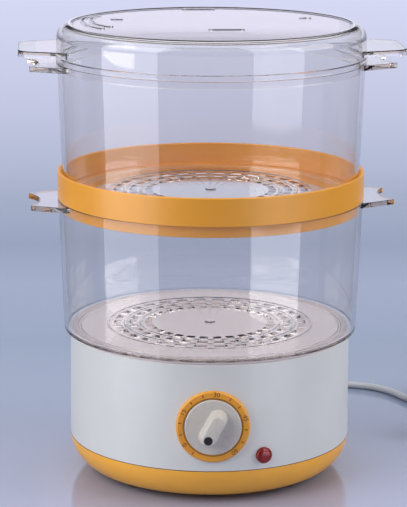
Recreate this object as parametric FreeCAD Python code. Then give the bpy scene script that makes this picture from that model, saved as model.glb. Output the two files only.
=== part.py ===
import FreeCAD, Part
import math
import os

# Electric food steamer: a round heating base, a drip tray, two clear bowls with a
# coloured tier ring between them, and a clear lid. Millimetres, +Z up. The origin is
# the middle of the stack on the surface that the rubber feet stand on, and the timer
# dial faces -Y. Heights are measured from that surface.

# ---------------------------------------------------------------- driving dimensions

# Stack: every round size follows from the bowls' rim, inwards and down
bowl_rim_radius = 112.1
bowl_taper = 3.7             # how much narrower a bowl is at its underside
bowl_wall = 2.2
bowl_ring_inset = 10.6       # the locating ring under a bowl, in from its bottom edge
tray_ring_play = 1.4         # round that ring in the tray's dish
tray_seat_width = 4.2        # the tray's rim, on which the lower bowl stands
tray_rim_inset = 0.2         # the tray's rim, in from the housing's edge

# Base
foot_height = 3.5            # the underside of the base above the table
seam_height = 26.5           # where the coloured bottom meets the white housing
housing_top = 105.1          # the housing's rim
body_taper = 0.5             # how much wider the housing is at the seam
body_wall = 2.5
rim_chamfer = 1.0
seam_gap = 0.4

# Bottom cover
cover_side_width = 19.35     # how far the curved side reaches in to the flat underside
cover_fullness = 0.48        # how full the curved side is, 0.55 is a true ellipse
cover_wall = 2.5
cover_tongue = 4.0           # height of the lip that locates in the housing
cover_tongue_wall = 2.0
cover_tongue_root = 2.5      # how far the lip reaches down the cover's own wall
vent_count = 5
vent_length = 34.0
vent_width = 3.0
vent_pitch = 8.0

# Rubber feet
foot_radius = 6.5
foot_inset = 7.75            # the feet's centres, in from the flat underside's edge
foot_recess = 1.0

# Water tank
tank_play = 0.5              # between its wall and the ledge
tank_wall = 2.2
tank_bell_gap = 6.0          # between its flat front and the bell behind the timer
tank_clamp_gap = 0.95        # above the cord clamp's screws
tank_floor = 2.5
tank_flange = 2.0
tank_flange_top = 103.0
ledge_width = 5.1            # the housing's ledge that carries the tank
ledge_thickness = 2.5

# Posts that pull the bottom cover up to the tank
post_circle_radius = 62.0
post_angles = (30.0, 150.0, 210.0, 330.0)
post_radius = 4.0
post_bottom = 12.5
cover_screw_radius = 1.45
cover_screw_length = 16.0
cover_screw_head_radius = 3.0
cover_screw_head_height = 2.5
cover_screw_head_bottom = 5.5

# Heater
heater_screw_circle = 36.2
plate_flange = 2.5
plate_edge = 3.8             # the flange outside the screws, and the seal inside them
plate_dome_play = 0.4        # the raised middle in the tank's hole
plate_dome_height = 7.0
gasket_thickness = 1.5
heater_screw_radius = 1.5
heater_screw_depth = 10.0
heater_screw_head_radius = 2.8
heater_screw_head_height = 2.4
tube_radius = 3.3
tube_inset = 9.0             # the tube's centre line, in from the raised middle's edge
tube_sweep = 300.0
tube_pin_radius = 1.2
tube_pin_length = 9.0
thermostat_radius = 8.0
thermostat_height = 6.0
fuse_radius = 2.2
fuse_length = 20.0
fuse_offset = 14.0
turbo_screw_gap = 7.8        # between the screws' circle and the sleeve's inside
turbo_wall = 2.0
turbo_height = 23.5
turbo_notch_width = 12.0
turbo_notch_height = 5.0

# Timer dial on the front
dial_height = 60.0           # the dial's centre above the table
dial_stand = 2.4             # the ring's flat front, out from the housing's top edge
dial_flange = 3.2            # the ring outside its recess
dial_spigot_wall = 2.5
dial_recess_depth = 4.5
dial_pad_thickness = 3.0
dial_edge_round = 1.6
dial_bevel = 0.8

# Knob
knob_radius = 20.2
knob_ring_gap = 0.3          # round the knob in the dial ring
knob_stand = 1.2             # the knob's face, out from the ring's
knob_disc = 3.0
knob_back_gap = 0.8          # behind the knob, to the recess's floor
knob_rim_wall = 1.7
knob_edge_round = 0.8
knob_hub_radius = 6.0
grip_length = 31.0
grip_width = 14.0
grip_height = 9.8
grip_taper = 2.0             # how much the grip's top is narrower on each side
pointer_dot_radius = 3.2
pointer_dot_depth = 0.6
pointer_dot_offset = 8.5
pointer_rest_angle = 160.0   # anticlockwise from straight up, at the off position

# Timer movement
timer_half_width = 22.0
timer_wall = 1.5
timer_depth = 24.0
timer_plate_thickness = 1.0
shaft_radius = 3.0
shaft_setback = 1.0          # the shaft's front end, in from the dial ring's face
shaft_clearance = 0.05
bearing_radius = 5.0
bearing_height = 3.5
gear_module = 0.8
main_gear_teeth = 32
pinion_teeth = 12
gear_start = 16.5            # in front of the timer's back
gear_thickness = 2.5
pinion_extra = 0.5
pinion_direction = 45.0
arbor_radius = 1.0
arbor_clearance = 0.04
arbor_bearing_radius = 2.5
barrel_radius = 11.0
barrel_start = 6.0           # in front of the timer's back
barrel_thickness = 8.5
cam_radius = 8.0
cam_setback = 4.0            # its rear face, in from the timer's open front
cam_thickness = 2.0
cam_notch = 2.5
leaf_thickness = 0.4
leaf_height = 3.0
leaf_gap = 2.0
leaf_start = -10.0
leaf_end = 29.0
leaf_overhang = 0.5          # the leaves reach this much behind the cam
leaf_clearance = 0.8
switch_block_start = 16.0
switch_block_end = 23.5
switch_block_margin = 1.2
bell_radius = 18.0
bell_depth = 7.5
bell_wall = 1.0
timer_screw_offset = 13.0
timer_screw_radius = 1.5
timer_screw_head_radius = 2.7
timer_screw_head_height = 1.6

# Indicator lamp
lamp_side = 36.112           # beside the dial's centre
lamp_drop = 23.0             # below the dial's centre
lamp_radius = 5.9
lamp_dome = 2.6
lamp_flange = 1.2
lamp_flange_width = 1.8      # the cap's edge outside its neck
lamp_neck_depth = 12.6       # in from the housing's top edge
lamp_neck_wall = 1.3
lamp_bore_stand = 0.4        # the bore's end, out from the housing's top edge
neon_play = 0.4
neon_length = 11.0

# Drip tray
tray_rim = 2.5               # thickness of the rim, which is also the bowl's seat
tray_dish_depth = 2.0
tray_dish_draft = 0.6
tray_floor = 2.2
steam_port_radius = 61.5
steam_port_width = 3.0
steam_port_count = 16
steam_port_share = 0.72
port_lip_height = 1.2
port_lip_width = 1.4

# Bowls
bowl_height = 97.9
bowl_floor = 2.0
bowl_edge_round = 1.5
bowl_ring_wall = 2.0
bowl_ring_depth = 1.7
bowl_turn = 5.2              # degrees that the bowls stand turned on the base
boss_radius = 3.5
boss_height = 0.9
ridge_radii = (33.5, 52.8, 65.0, 80.0)
ridge_width = 1.2
ridge_height = 0.5
slot_width = 2.4
slot_radii = (44.6, 49.4, 56.6, 61.4, 69.2, 74.0)
slot_counts = (24, 24, 30, 30, 36, 36)   # in the row at each radius
slot_share = 0.78            # of the pitch that a slot takes

# Bowl handles
tab_overhang = 23.4          # beyond the bowl's rim
tab_tip_half = 26.5
tab_root_half = 38.0
tab_root_inset = 7.1
tab_thickness = 3.2
tab_fishtail = 8.5
tab_corner = 2.2

# Tier ring
ring_overhang = 0.4          # beyond the lower bowl's rim
ring_collar_wall = 2.3
ring_collar_height = 20.3
ring_ledge_play = 2.1        # round the upper bowl's locating ring
ring_ledge_thickness = 2.75
ring_skirt_play = 0.7        # inside the lower bowl's rim
ring_skirt_wall = 2.2
ring_skirt_depth = 8.1
ring_lip_round = 1.0

# Lid
lid_overhang = 0.4           # beyond the upper bowl's rim
lid_wall = 2.2
lid_height = 26.85
lid_shoulder = 10.0
lid_step = 1.0
lid_bead = 0.5
lid_bead_height = 3.7
lid_spigot_play = 0.6        # inside the upper bowl's rim
lid_spigot_wall = 2.2
lid_spigot_depth = 6.0
lid_turn = 2.9
lid_handle_overhang = 27.5   # beyond the lid's wall
lid_handle_half = 30.0
lid_handle_corner = 12.0
lid_handle_top = 10.35       # above the lid's lower edge
lid_handle_plate = 2.5
lid_handle_lip = 4.8
lid_handle_lip_wall = 2.2
crescent_spots = ((-16.7, 16.2, 76.4), (-24.6, 21.9, 62.2))   # centre x, y and radius
crescent_angles = ((158.0, 214.0), (153.0, 218.0))            # start and end of each
crescent_width = 3.0
round_vent_radius = 3.2
round_vent_spots = ((-67.0, 28.0), (68.0, 36.0))
oblong_vent_spots = ((12.0, -32.0, 25.0), (-9.0, 90.0, 22.0))
oblong_vent_width = 4.4

# Power cord
cord_diameter = 5.5
cord_exit_height = 38.0
relief_neck_radius = 5.4
relief_collar_radius = 7.5
relief_collar = 3.0
relief_flange_radius = 7.0
relief_flange = 1.9
relief_tip = 136.0
relief_start_radius = 6.0
relief_tip_radius = 3.7
relief_ribs = 5
relief_groove = 0.7
coil_x = 212.0
coil_y = 172.0
coil_diameter = 66.0         # at the middle of its turns
plug_x = 189.0
plug_y = 104.0
plug_radius = 18.5
plug_relief = 22.0
plug_relief_radius = 5.5
plug_relief_tip_radius = 3.6
plug_length = 58.0
plug_barrel = 18.0
plug_shoulder = 10.0
plug_neck_radius = 8.5
plug_edge_round = 1.5
plug_pin_radius = 2.4
plug_pin_spacing = 19.0
plug_pin_length = 19.0
plug_pin_root = 10.0
plug_pin_root_radius = 1.9
earth_clip_width = 6.0
earth_clip_depth = 2.4
earth_clip_length = 14.0
earth_clip_thickness = 1.2

# Cord clamp and wiring inside the base
saddle_inset = 24.1          # in from the housing's seam edge
saddle_half_length = 14.0
saddle_width = 8.0
clamp_thickness = 2.5
clamp_screw_offset = 10.0
clamp_screw_radius = 1.4
clamp_screw_length = 12.0
clamp_screw_head_radius = 2.6
clamp_screw_head_height = 1.8
inner_cord_reach = 14.0      # of the cord past the clamp's middle
terminal_length = 24.0
terminal_width = 14.0
terminal_height = 11.0
terminal_setback = 22.0      # the block's middle, in from the cord's cut end
terminal_bore_radius = 1.8
lead_diameter = 1.7
lead_low = 9.5               # height of the leads that lie on the bottom

# Clearances
near = 1e-4
slide_gap = 0.1
screw_gap = 0.2
hole_gap = 0.05
knob_bore_gap = 0.02

# ---------------------------------------------------------------- derived places

bowl_bottom_radius = bowl_rim_radius - bowl_taper
bowl_rim_inner = bowl_rim_radius - bowl_wall
bowl_ring_radius = bowl_bottom_radius - bowl_ring_inset
tray_dish_radius = bowl_ring_radius + tray_ring_play
tray_rim_radius = tray_dish_radius + tray_seat_width
body_top_radius = tray_rim_radius + tray_rim_inset
body_bottom_radius = body_top_radius + body_taper
housing_rim_inner = body_top_radius - body_wall
cover_flat_radius = body_bottom_radius - cover_side_width
foot_circle_radius = cover_flat_radius - foot_inset
tab_reach = bowl_rim_radius + tab_overhang
tab_root_reach = bowl_rim_radius - tab_root_inset
ring_radius = bowl_rim_radius + ring_overhang
ring_ledge_radius = bowl_ring_radius + ring_ledge_play
ring_skirt_radius = bowl_rim_inner - ring_skirt_play
lid_radius = bowl_rim_radius + lid_overhang
lid_spigot_radius = bowl_rim_inner - lid_spigot_play
lid_handle_reach = lid_radius + lid_handle_overhang

dial_face = body_top_radius + dial_stand
dial_opening_radius = knob_radius + knob_ring_gap
dial_recess_radius = dial_opening_radius + dial_spigot_wall
dial_radius = dial_recess_radius + dial_flange
dial_recess_floor = dial_face - dial_recess_depth
knob_face = dial_face + knob_stand
knob_back = dial_recess_floor + knob_back_gap
shaft_front = dial_face - shaft_setback
timer_front = dial_recess_floor - dial_pad_thickness - timer_plate_thickness
timer_back = timer_front - timer_depth
gear_low = timer_back + gear_start
barrel_low = timer_back + barrel_start
cam_low = timer_front - cam_setback
leaf_low = cam_low - leaf_overhang
lamp_turn = math.degrees(math.asin(lamp_side / body_top_radius))
lamp_height = dial_height - lamp_drop
lamp_neck_radius = lamp_radius - lamp_flange_width
lamp_neck_back = body_top_radius - lamp_neck_depth
lamp_bore_radius = lamp_neck_radius - lamp_neck_wall
lamp_bore_front = body_top_radius + lamp_bore_stand
neon_radius = lamp_bore_radius - neon_play

tank_radius = housing_rim_inner - ledge_width - tank_play
tank_front = timer_back - bell_depth - tank_bell_gap
tank_hole_radius = heater_screw_circle - plate_edge
plate_radius = heater_screw_circle + plate_edge
plate_dome_radius = tank_hole_radius - plate_dome_play
tube_circle_radius = plate_dome_radius - tube_inset
turbo_radius = heater_screw_circle + turbo_screw_gap + turbo_wall
saddle_y = body_bottom_radius - saddle_inset
inner_cord_end = saddle_y - inner_cord_reach
terminal_y = inner_cord_end - terminal_setback

saddle_top = cord_exit_height - cord_diameter / 2
clamp_bottom = cord_exit_height + cord_diameter / 2
clamp_top = clamp_bottom + clamp_thickness
tank_underside = clamp_top + clamp_screw_head_height + tank_clamp_gap

cover_top = seam_height
cover_inside = foot_height + cover_wall
housing_bottom = seam_height + seam_gap
bowl_seat = housing_top + tray_rim
ring_seat = bowl_seat + bowl_height
upper_bowl_seat = ring_seat + ring_ledge_thickness
lid_seat = upper_bowl_seat + bowl_height
tank_flange_bottom = tank_flange_top - tank_flange
tank_floor_top = tank_underside + tank_floor
tank_inner_radius = tank_radius - tank_wall
plate_top = tank_underside - gasket_thickness
plate_bottom = plate_top - plate_flange

gear_distance = gear_module * (main_gear_teeth + pinion_teeth) / 2
pinion_x = gear_distance * math.cos(math.radians(pinion_direction))
pinion_y = gear_distance * math.sin(math.radians(pinion_direction))
timer_plate_front = timer_front + timer_plate_thickness


# ---------------------------------------------------------------- helpers


def vec(x, y, z):
    return FreeCAD.Vector(x, y, z)


def cylinder(radius, low, high, x=0.0, y=0.0):
    return Part.makeCylinder(radius, high - low, vec(x, y, low))


def ring(outer, inner, low, high, x=0.0, y=0.0):
    return cylinder(outer, low, high, x, y).cut(cylinder(inner, low - 1, high + 1, x, y))


def block(low, high):
    size = [b - a for a, b in zip(low, high)]
    return Part.makeBox(size[0], size[1], size[2], vec(*low))


def turned(outline, sweep=360.0):
    """Revolve an outline of (radius, height) points about Z. A point may be
    ("arc", middle, end) for a round stretch or ("bezier", poles...) for a free one."""
    edges = []
    here = outline[0]
    for step in outline[1:] + [outline[0]]:
        if step[0] == "arc":
            middle, end = step[1:]
            edges.append(Part.Arc(flat(here), flat(middle), flat(end)).toShape())
        elif step[0] == "bezier":
            end = step[-1]
            curve = Part.BezierCurve()
            curve.setPoles([flat(here)] + [flat(pole) for pole in step[1:]])
            edges.append(curve.toShape())
        else:
            end = step
            if math.dist(here, end) < near:
                continue
            edges.append(Part.LineSegment(flat(here), flat(end)).toShape())
        here = end
    face = Part.Face(Part.Wire(edges))
    return face.revolve(vec(0, 0, 0), vec(0, 0, 1), sweep)


def flat(point):
    return vec(point[0], 0, point[1])


def arc_through(centre, radius, start, end):
    """An outline's round stretch: its middle and end points."""
    points = []
    for angle in ((start + end) / 2, end):
        turn = math.radians(angle)
        points.append((centre[0] + radius * math.cos(turn), centre[1] + radius * math.sin(turn)))
    return ("arc", points[0], points[1])


def prism(points, low, high):
    """An upright prism on an outline of (x, y) points, where an ("arc", middle, end)
    is a round stretch."""
    edges = []
    here = points[0]
    for step in points[1:] + [points[0]]:
        if step[0] == "arc":
            middle, end = step[1:]
            stretch = Part.Arc(vec(*here, low), vec(*middle, low), vec(*end, low))
            edges.append(stretch.toShape())
        else:
            end = step
            if math.dist(here, end) < near:
                continue
            edges.append(Part.LineSegment(vec(*here, low), vec(*end, low)).toShape())
        here = end
    return Part.Face(Part.Wire(edges)).extrude(vec(0, 0, high - low))


def around(shape, count, start=0.0):
    """Copies of a shape, evenly spaced about the Z axis."""
    return [spun(shape, start + 360.0 * k / count) for k in range(count)]


def spun(shape, degrees):
    copy = shape.copy()
    copy.rotate(vec(0, 0, 0), vec(0, 0, 1), degrees)
    return copy


def moved(shape, x, y, z):
    copy = shape.copy()
    copy.translate(vec(x, y, z))
    return copy


def to_front(shape, height):
    """Stand a shape that faces +Z so that it faces -Y, its own origin at a height."""
    copy = shape.copy()
    copy.rotate(vec(0, 0, 0), vec(1, 0, 0), 90)
    copy.translate(vec(0, 0, height))
    return copy


def to_back(shape, height):
    """Stand a shape that faces +Z so that it faces +Y, its own origin at a height."""
    copy = shape.copy()
    copy.rotate(vec(0, 0, 0), vec(1, 0, 0), -90)
    copy.translate(vec(0, 0, height))
    return copy


def round_circles(shape, size, spots):
    """Fillet the full circles that have one of the (radius, height) spots."""
    edges = [
        edge
        for edge in shape.Edges
        if isinstance(edge.Curve, Part.Circle)
        and any(
            abs(edge.Curve.Radius - radius) < near * 10
            and abs(edge.Curve.Center.z - height) < near * 10
            for radius, height in spots
        )
    ]
    return shape.makeFillet(size, edges)


def circle_spots(radius, angles):
    return [
        (radius * math.cos(math.radians(a)), radius * math.sin(math.radians(a))) for a in angles
    ]


def fused(first, *others):
    return first.fuse(list(others)).removeSplitter()


def save(name, *solids):
    """Write one node, of one solid or of a group of separate solids."""
    shape = solids[0] if len(solids) == 1 else Part.makeCompound(list(solids))
    assert shape.isValid(), name
    for solid in shape.Solids:
        assert solid.Volume > 0, name
    print(f"{name:22s} solids {len(shape.Solids):3d}  volume {shape.Volume:10.1f} mm3")
    shape.exportStep(f"parts/{name}.step")
    return shape


# ---------------------------------------------------------------- base


def housing_envelope():
    """The housing's outer surface as a solid, for whatever seats on it."""
    return turned([(0, housing_bottom), (body_bottom_radius, housing_bottom),
                   (body_top_radius, housing_top), (0, housing_top)])


def tapered_wall(height):
    """Outer radius of the housing at a height."""
    share = (height - housing_bottom) / (housing_top - housing_bottom)
    return body_bottom_radius + share * (body_top_radius - body_bottom_radius)


def base_housing():
    """White outer shell with a ledge for the tank and the front panel's openings."""
    ledge_top = tank_flange_bottom
    ledge_bottom = ledge_top - ledge_thickness
    ledge_radius = housing_rim_inner - ledge_width
    shell = turned([
        (body_bottom_radius, housing_bottom),
        (tapered_wall(housing_top - rim_chamfer), housing_top - rim_chamfer),
        (body_top_radius - rim_chamfer, housing_top),
        (housing_rim_inner, housing_top),
        (housing_rim_inner, ledge_top),
        (ledge_radius, ledge_top),
        (ledge_radius, ledge_bottom),
        (tapered_wall(ledge_bottom) - body_wall, ledge_bottom),
        (body_bottom_radius - body_wall, housing_bottom),
    ])
    pad_back = dial_recess_floor - dial_pad_thickness
    pad = to_front(cylinder(dial_recess_radius + body_wall, pad_back, dial_face), dial_height)
    shell = fused(shell, pad.common(housing_envelope()))
    recess = cylinder(dial_recess_radius + slide_gap, dial_recess_floor, dial_face + 1)
    shaft_hole = cylinder(shaft_radius + 1.5, timer_front, dial_face)
    cuts = [to_front(recess, dial_height), to_front(shaft_hole, dial_height)]
    for side in (-1, 1):
        hole = cylinder(timer_screw_radius + screw_gap, timer_front, dial_face,
                        side * timer_screw_offset)
        cuts.append(to_front(hole, dial_height))
    lamp_hole = cylinder(lamp_neck_radius + slide_gap, lamp_neck_back, dial_face)
    cuts.append(spun(to_front(lamp_hole, lamp_height), lamp_turn))
    cord_hole = cylinder(relief_neck_radius + slide_gap, tank_radius, body_bottom_radius + 1)
    cuts.append(to_back(cord_hole, cord_exit_height))
    return shell.cut(cuts)


def bottom_cover():
    """Coloured dished bottom with bosses, a cord saddle and vents."""
    width = body_bottom_radius - cover_flat_radius
    height = cover_top - foot_height

    def side(inset):
        across = width - inset
        up = height - inset
        low = foot_height + inset
        return [
            (cover_flat_radius, low),
            ("bezier", (cover_flat_radius + cover_fullness * across, low),
             (cover_flat_radius + across, cover_top - cover_fullness * up),
             (cover_flat_radius + across, cover_top)),
        ]

    outer = side(0.0)
    inner = side(cover_wall)
    solid_outer = turned([(0, foot_height)] + outer + [(0, cover_top)])
    solid_inner = turned([(0, cover_inside)] + inner + [(0, cover_top)])
    tongue_outer = body_bottom_radius - body_wall - slide_gap * 2
    tongue_inner = tongue_outer - cover_tongue_wall
    tongue = ring(tongue_outer, tongue_inner, cover_top - cover_tongue_root,
                  cover_top + cover_tongue)
    root = ring(body_bottom_radius - body_wall / 2, tongue_inner,
                cover_top - cover_tongue_root, cover_top)
    shell = fused(solid_outer.cut(solid_inner), tongue, root)
    additions = []
    cuts = []
    for x, y in circle_spots(post_circle_radius, post_angles):
        additions.append(cylinder(post_radius + 1, cover_inside - 1, post_bottom, x, y))
        cuts.append(cylinder(cover_screw_radius + screw_gap, foot_height - 1, post_bottom + 1, x, y))
        head_top = cover_screw_head_bottom + cover_screw_head_height
        cuts.append(cylinder(cover_screw_head_radius + screw_gap, foot_height - 1, head_top, x, y))
    saddle = block((-saddle_half_length, saddle_y - saddle_width / 2, cover_inside - 1),
                   (saddle_half_length, saddle_y + saddle_width / 2, saddle_top))
    additions.append(saddle)
    for side_sign in (-1, 1):
        x = side_sign * clamp_screw_offset
        additions.append(cylinder(clamp_screw_head_radius + 0.6, saddle_top - 1, clamp_bottom,
                                  x, saddle_y))
        bore_bottom = clamp_bottom - clamp_screw_length + clamp_thickness - screw_gap
        cuts.append(cylinder(clamp_screw_radius + hole_gap, bore_bottom, clamp_bottom + 1,
                             x, saddle_y))
    for x, y in circle_spots(foot_circle_radius, (45, 135, 225, 315)):
        cuts.append(cylinder(foot_radius, foot_height - 1, foot_height + foot_recess, x, y))
    for k in range(vent_count):
        y = (k - (vent_count - 1) / 2) * vent_pitch
        cuts.append(block((-vent_length / 2, y - vent_width / 2, foot_height - 1),
                          (vent_length / 2, y + vent_width / 2, cover_inside + 1)))
    return fused(shell, *additions).cut(cuts)


def rubber_feet():
    foot = cylinder(foot_radius - hole_gap, 0, foot_height + foot_recess)
    foot = round_circles(foot, 0.8, [(foot_radius - hole_gap, 0)])
    spots = circle_spots(foot_circle_radius, (45, 135, 225, 315))
    return [moved(foot, x, y, 0) for x, y in spots]


def screw(head_radius, head_height, shank_radius, shank_length):
    """A cross-head screw standing on its tip's side, head down, head's face at z = 0."""
    head = cylinder(head_radius, 0, head_height)
    shank = cylinder(shank_radius, head_height - 0.1, head_height + shank_length)
    arm = head_radius * 0.6
    slot = head_radius * 0.15
    cross = [block((-arm, -slot, -1), (arm, slot, head_height * 0.5)),
             block((-slot, -arm, -1), (slot, arm, head_height * 0.5))]
    return fused(head, shank).cut(cross)


def cover_screws():
    one = screw(cover_screw_head_radius, cover_screw_head_height,
                cover_screw_radius, cover_screw_length)
    spots = circle_spots(post_circle_radius, post_angles)
    return [moved(one, x, y, cover_screw_head_bottom) for x, y in spots]


def tank_section(radius, front, low, high):
    """A D-shaped prism: a round with its front cut flat."""
    return cylinder(radius, low, high).common(
        block((-radius, -front, low), (radius, radius, high)))


def water_tank():
    """Reservoir insert: D-shaped, so that the timer has room in front of it."""
    inside = tank_section(tank_inner_radius, tank_front, tank_floor_top, tank_flange_top + 1)
    body = tank_section(tank_radius, tank_front + tank_wall, tank_underside, tank_flange_top)
    flange_radius = housing_rim_inner - slide_gap * 2
    flange = cylinder(flange_radius, tank_flange_bottom, tank_flange_top)
    posts = [cylinder(post_radius, post_bottom, tank_underside + 1, x, y)
             for x, y in circle_spots(post_circle_radius, post_angles)]
    boss_top = tank_underside + heater_screw_depth - plate_flange - gasket_thickness + 2.0
    screw_spots = circle_spots(heater_screw_circle, (45, 135, 225, 315))
    boss_radius_inside = heater_screw_radius + 1.8
    bosses = [cylinder(boss_radius_inside, tank_floor_top - 1, boss_top, x, y)
              for x, y in screw_spots]
    tank = fused(body, flange, *posts).cut(inside)
    tank = fused(tank, *bosses)
    cuts = [cylinder(tank_hole_radius, tank_underside - 1, tank_floor_top + 1)]
    for x, y in screw_spots:
        cuts.append(cylinder(heater_screw_radius + hole_gap, tank_underside - 1,
                             boss_top - 1.0, x, y))
    for x, y in circle_spots(post_circle_radius, post_angles):
        bore_top = cover_screw_head_bottom + cover_screw_head_height + cover_screw_length + 1
        cuts.append(cylinder(cover_screw_radius + hole_gap, post_bottom - 1, bore_top, x, y))
    return tank.cut(cuts)


def turbo_ring():
    """Sleeve that keeps a little water by the heater, so that steam comes quickly."""
    top = tank_floor_top + turbo_height
    sleeve = ring(turbo_radius, turbo_radius - turbo_wall, tank_floor_top, top)
    sleeve = round_circles(sleeve, turbo_wall * 0.4, [(turbo_radius, top)])
    notch = block((0, -turbo_notch_width / 2, tank_floor_top - 1),
                  (turbo_radius + 1, turbo_notch_width / 2, tank_floor_top + turbo_notch_height))
    return sleeve.cut(around(notch, 4))


def heater_screw_spots():
    return circle_spots(heater_screw_circle, (45, 135, 225, 315))


def heating_plate():
    dome_top = plate_bottom + plate_dome_height
    plate = turned([(0, plate_bottom), (plate_radius, plate_bottom), (plate_radius, plate_top),
                    (plate_dome_radius, plate_top), (plate_dome_radius, dome_top - 1.5),
                    (plate_dome_radius - 2.0, dome_top), (0, dome_top)])
    holes = [cylinder(heater_screw_radius + screw_gap, plate_bottom - 1, plate_top + 1, x, y)
             for x, y in heater_screw_spots()]
    return plate.cut(holes)


def heater_gasket():
    seal = ring(plate_radius, tank_hole_radius, plate_top, tank_underside)
    holes = [cylinder(heater_screw_radius + screw_gap, plate_top - 1, tank_underside + 1, x, y)
             for x, y in heater_screw_spots()]
    return seal.cut(holes)


def heater_screws():
    one = screw(heater_screw_head_radius, heater_screw_head_height,
                heater_screw_radius, heater_screw_depth)
    base = plate_bottom - heater_screw_head_height
    return [moved(one, x, y, base) for x, y in heater_screw_spots()]


def heating_tube():
    """Horseshoe of sheathed element under the plate, its cold ends turned down."""
    centre_z = plate_bottom - tube_radius - hole_gap
    section = Part.Face(Part.Wire(Part.makeCircle(
        tube_radius, vec(tube_circle_radius, 0, centre_z), vec(0, 1, 0))))
    horseshoe = section.revolve(vec(0, 0, 0), vec(0, 0, 1), tube_sweep)
    start = 90 + (360 - tube_sweep) / 2
    horseshoe = spun(horseshoe, start)
    pins = []
    for angle in (start + 4, start + tube_sweep - 4):
        x, y = circle_spots(tube_circle_radius, (angle,))[0]
        pins.append(cylinder(tube_pin_radius, centre_z - tube_radius - tube_pin_length,
                             centre_z, x, y))
    return fused(horseshoe, *pins)


def thermostat():
    """Bimetal disc switch that stops a dry base from overheating."""
    low = plate_bottom - thermostat_height
    can = cylinder(thermostat_radius, low, plate_bottom)
    can = round_circles(can, 0.8, [(thermostat_radius, low)])
    tabs = [block((side * 4 - 1.6, -0.4, low - 7), (side * 4 + 1.6, 0.4, low + 1))
            for side in (-1, 1)]
    return fused(can, *tabs)


def thermal_fuse():
    body = Part.makeCylinder(fuse_radius, fuse_length,
                             vec(-fuse_length / 2, -fuse_offset, plate_bottom - fuse_radius - hole_gap),
                             vec(1, 0, 0))
    return body


# ---------------------------------------------------------------- dial and timer


def dial_ring():
    """Coloured bezel with the minute scale, let into the front of the housing."""
    face = turned([
        (dial_opening_radius, dial_recess_floor),
        (dial_recess_radius, dial_recess_floor),
        (dial_recess_radius, dial_recess_floor + 0.5),
        (dial_radius, dial_recess_floor - 5.0),
        (dial_radius, dial_face - dial_edge_round),
        arc_through((dial_radius - dial_edge_round, dial_face - dial_edge_round),
                    dial_edge_round, 0, 90),
        (dial_opening_radius + dial_bevel, dial_face),
        (dial_opening_radius, dial_face - dial_bevel),
    ])
    skirt = turned([
        (dial_recess_radius, dial_recess_floor - 5.0),
        (dial_radius, dial_recess_floor - 5.0),
        (dial_radius, dial_face - dial_edge_round),
        (dial_recess_radius, dial_face - dial_edge_round),
    ])
    outside = to_front(fused(face, skirt), dial_height).cut(housing_envelope())
    spigot = to_front(ring(dial_recess_radius, dial_opening_radius, dial_recess_floor,
                           dial_face - dial_edge_round), dial_height)
    return fused(outside, spigot)


def timer_knob():
    """Round skirt with a bar grip across it, hollow behind, a D bore for the shaft."""
    disc_back = knob_face - knob_disc
    skirt = cylinder(knob_radius, knob_back, knob_face)
    skirt = round_circles(skirt, knob_edge_round, [(knob_radius, knob_face)])
    skirt = skirt.cut(ring(knob_radius - knob_rim_wall, knob_hub_radius, knob_back - 1, disc_back))
    half_width = grip_width / 2
    straight = grip_length / 2 - half_width
    base = stadium(half_width, straight, knob_face - 0.5)
    top = stadium(half_width - grip_taper, straight - grip_taper * 0.4, knob_face + grip_height)
    grip = Part.makeLoft([base, top], True)
    top_edges = [edge for edge in grip.Edges
                 if all(abs(v.Z - knob_face - grip_height) < near for v in edge.Vertexes)]
    grip = grip.makeFillet(0.7, top_edges)
    knob = fused(skirt, grip)
    bore = cylinder(shaft_radius + knob_bore_gap, knob_back - 1, shaft_front + hole_gap)
    flat_side = block((shaft_radius * 0.6 + knob_bore_gap, -shaft_radius * 2, knob_back - 2),
                      (shaft_radius * 3, shaft_radius * 2, shaft_front + 1))
    bore = bore.cut(flat_side)
    dot_hole = cylinder(pointer_dot_radius + hole_gap, knob_face + grip_height - pointer_dot_depth,
                        knob_face + grip_height + 1, 0, pointer_dot_offset)
    knob = knob.cut([bore, dot_hole])
    return to_front(spun(knob, pointer_rest_angle), dial_height)


def stadium(half_width, straight, height):
    """Closed outline with round ends, along Y."""
    left, right = -half_width, half_width
    edges = [
        Part.LineSegment(vec(right, -straight, height), vec(right, straight, height)),
        Part.Arc(vec(right, straight, height), vec(0, straight + half_width, height),
                 vec(left, straight, height)),
        Part.LineSegment(vec(left, straight, height), vec(left, -straight, height)),
        Part.Arc(vec(left, -straight, height), vec(0, -straight - half_width, height),
                 vec(right, -straight, height)),
    ]
    return Part.Wire([edge.toShape() for edge in edges])


def pointer_dot():
    top = knob_face + grip_height
    dot = cylinder(pointer_dot_radius, top - pointer_dot_depth, top, 0, pointer_dot_offset)
    return to_front(spun(dot, pointer_rest_angle), dial_height)


def timer_shaft():
    """Steel spindle with a flat for the knob."""
    shaft = cylinder(shaft_radius, timer_back + timer_wall + 0.6, shaft_front)
    flat_side = block((shaft_radius * 0.6, -shaft_radius * 2, timer_plate_front + 1),
                      (shaft_radius * 3, shaft_radius * 2, shaft_front + 1))
    return to_front(spun(shaft.cut(flat_side), pointer_rest_angle), dial_height)


def gear(teeth, thickness, low, bore, first_tooth):
    """Spur gear with straight-sided teeth and working backlash."""
    pitch = gear_module * teeth / 2
    tip = pitch + 0.85 * gear_module
    root = pitch - 1.1 * gear_module
    half_pitch = 180.0 / teeth
    tip_half = half_pitch * 0.20
    root_half = half_pitch * 0.60
    points = []
    for k in range(teeth):
        centre = first_tooth + 2 * half_pitch * k
        for radius, offset in ((root, -root_half), (tip, -tip_half), (tip, tip_half),
                               (root, root_half)):
            turn = math.radians(centre + offset)
            points.append((radius * math.cos(turn), radius * math.sin(turn)))
    blank = prism(points, low, low + thickness)
    return blank.cut(cylinder(bore, low - 1, low + thickness + 1))


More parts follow.
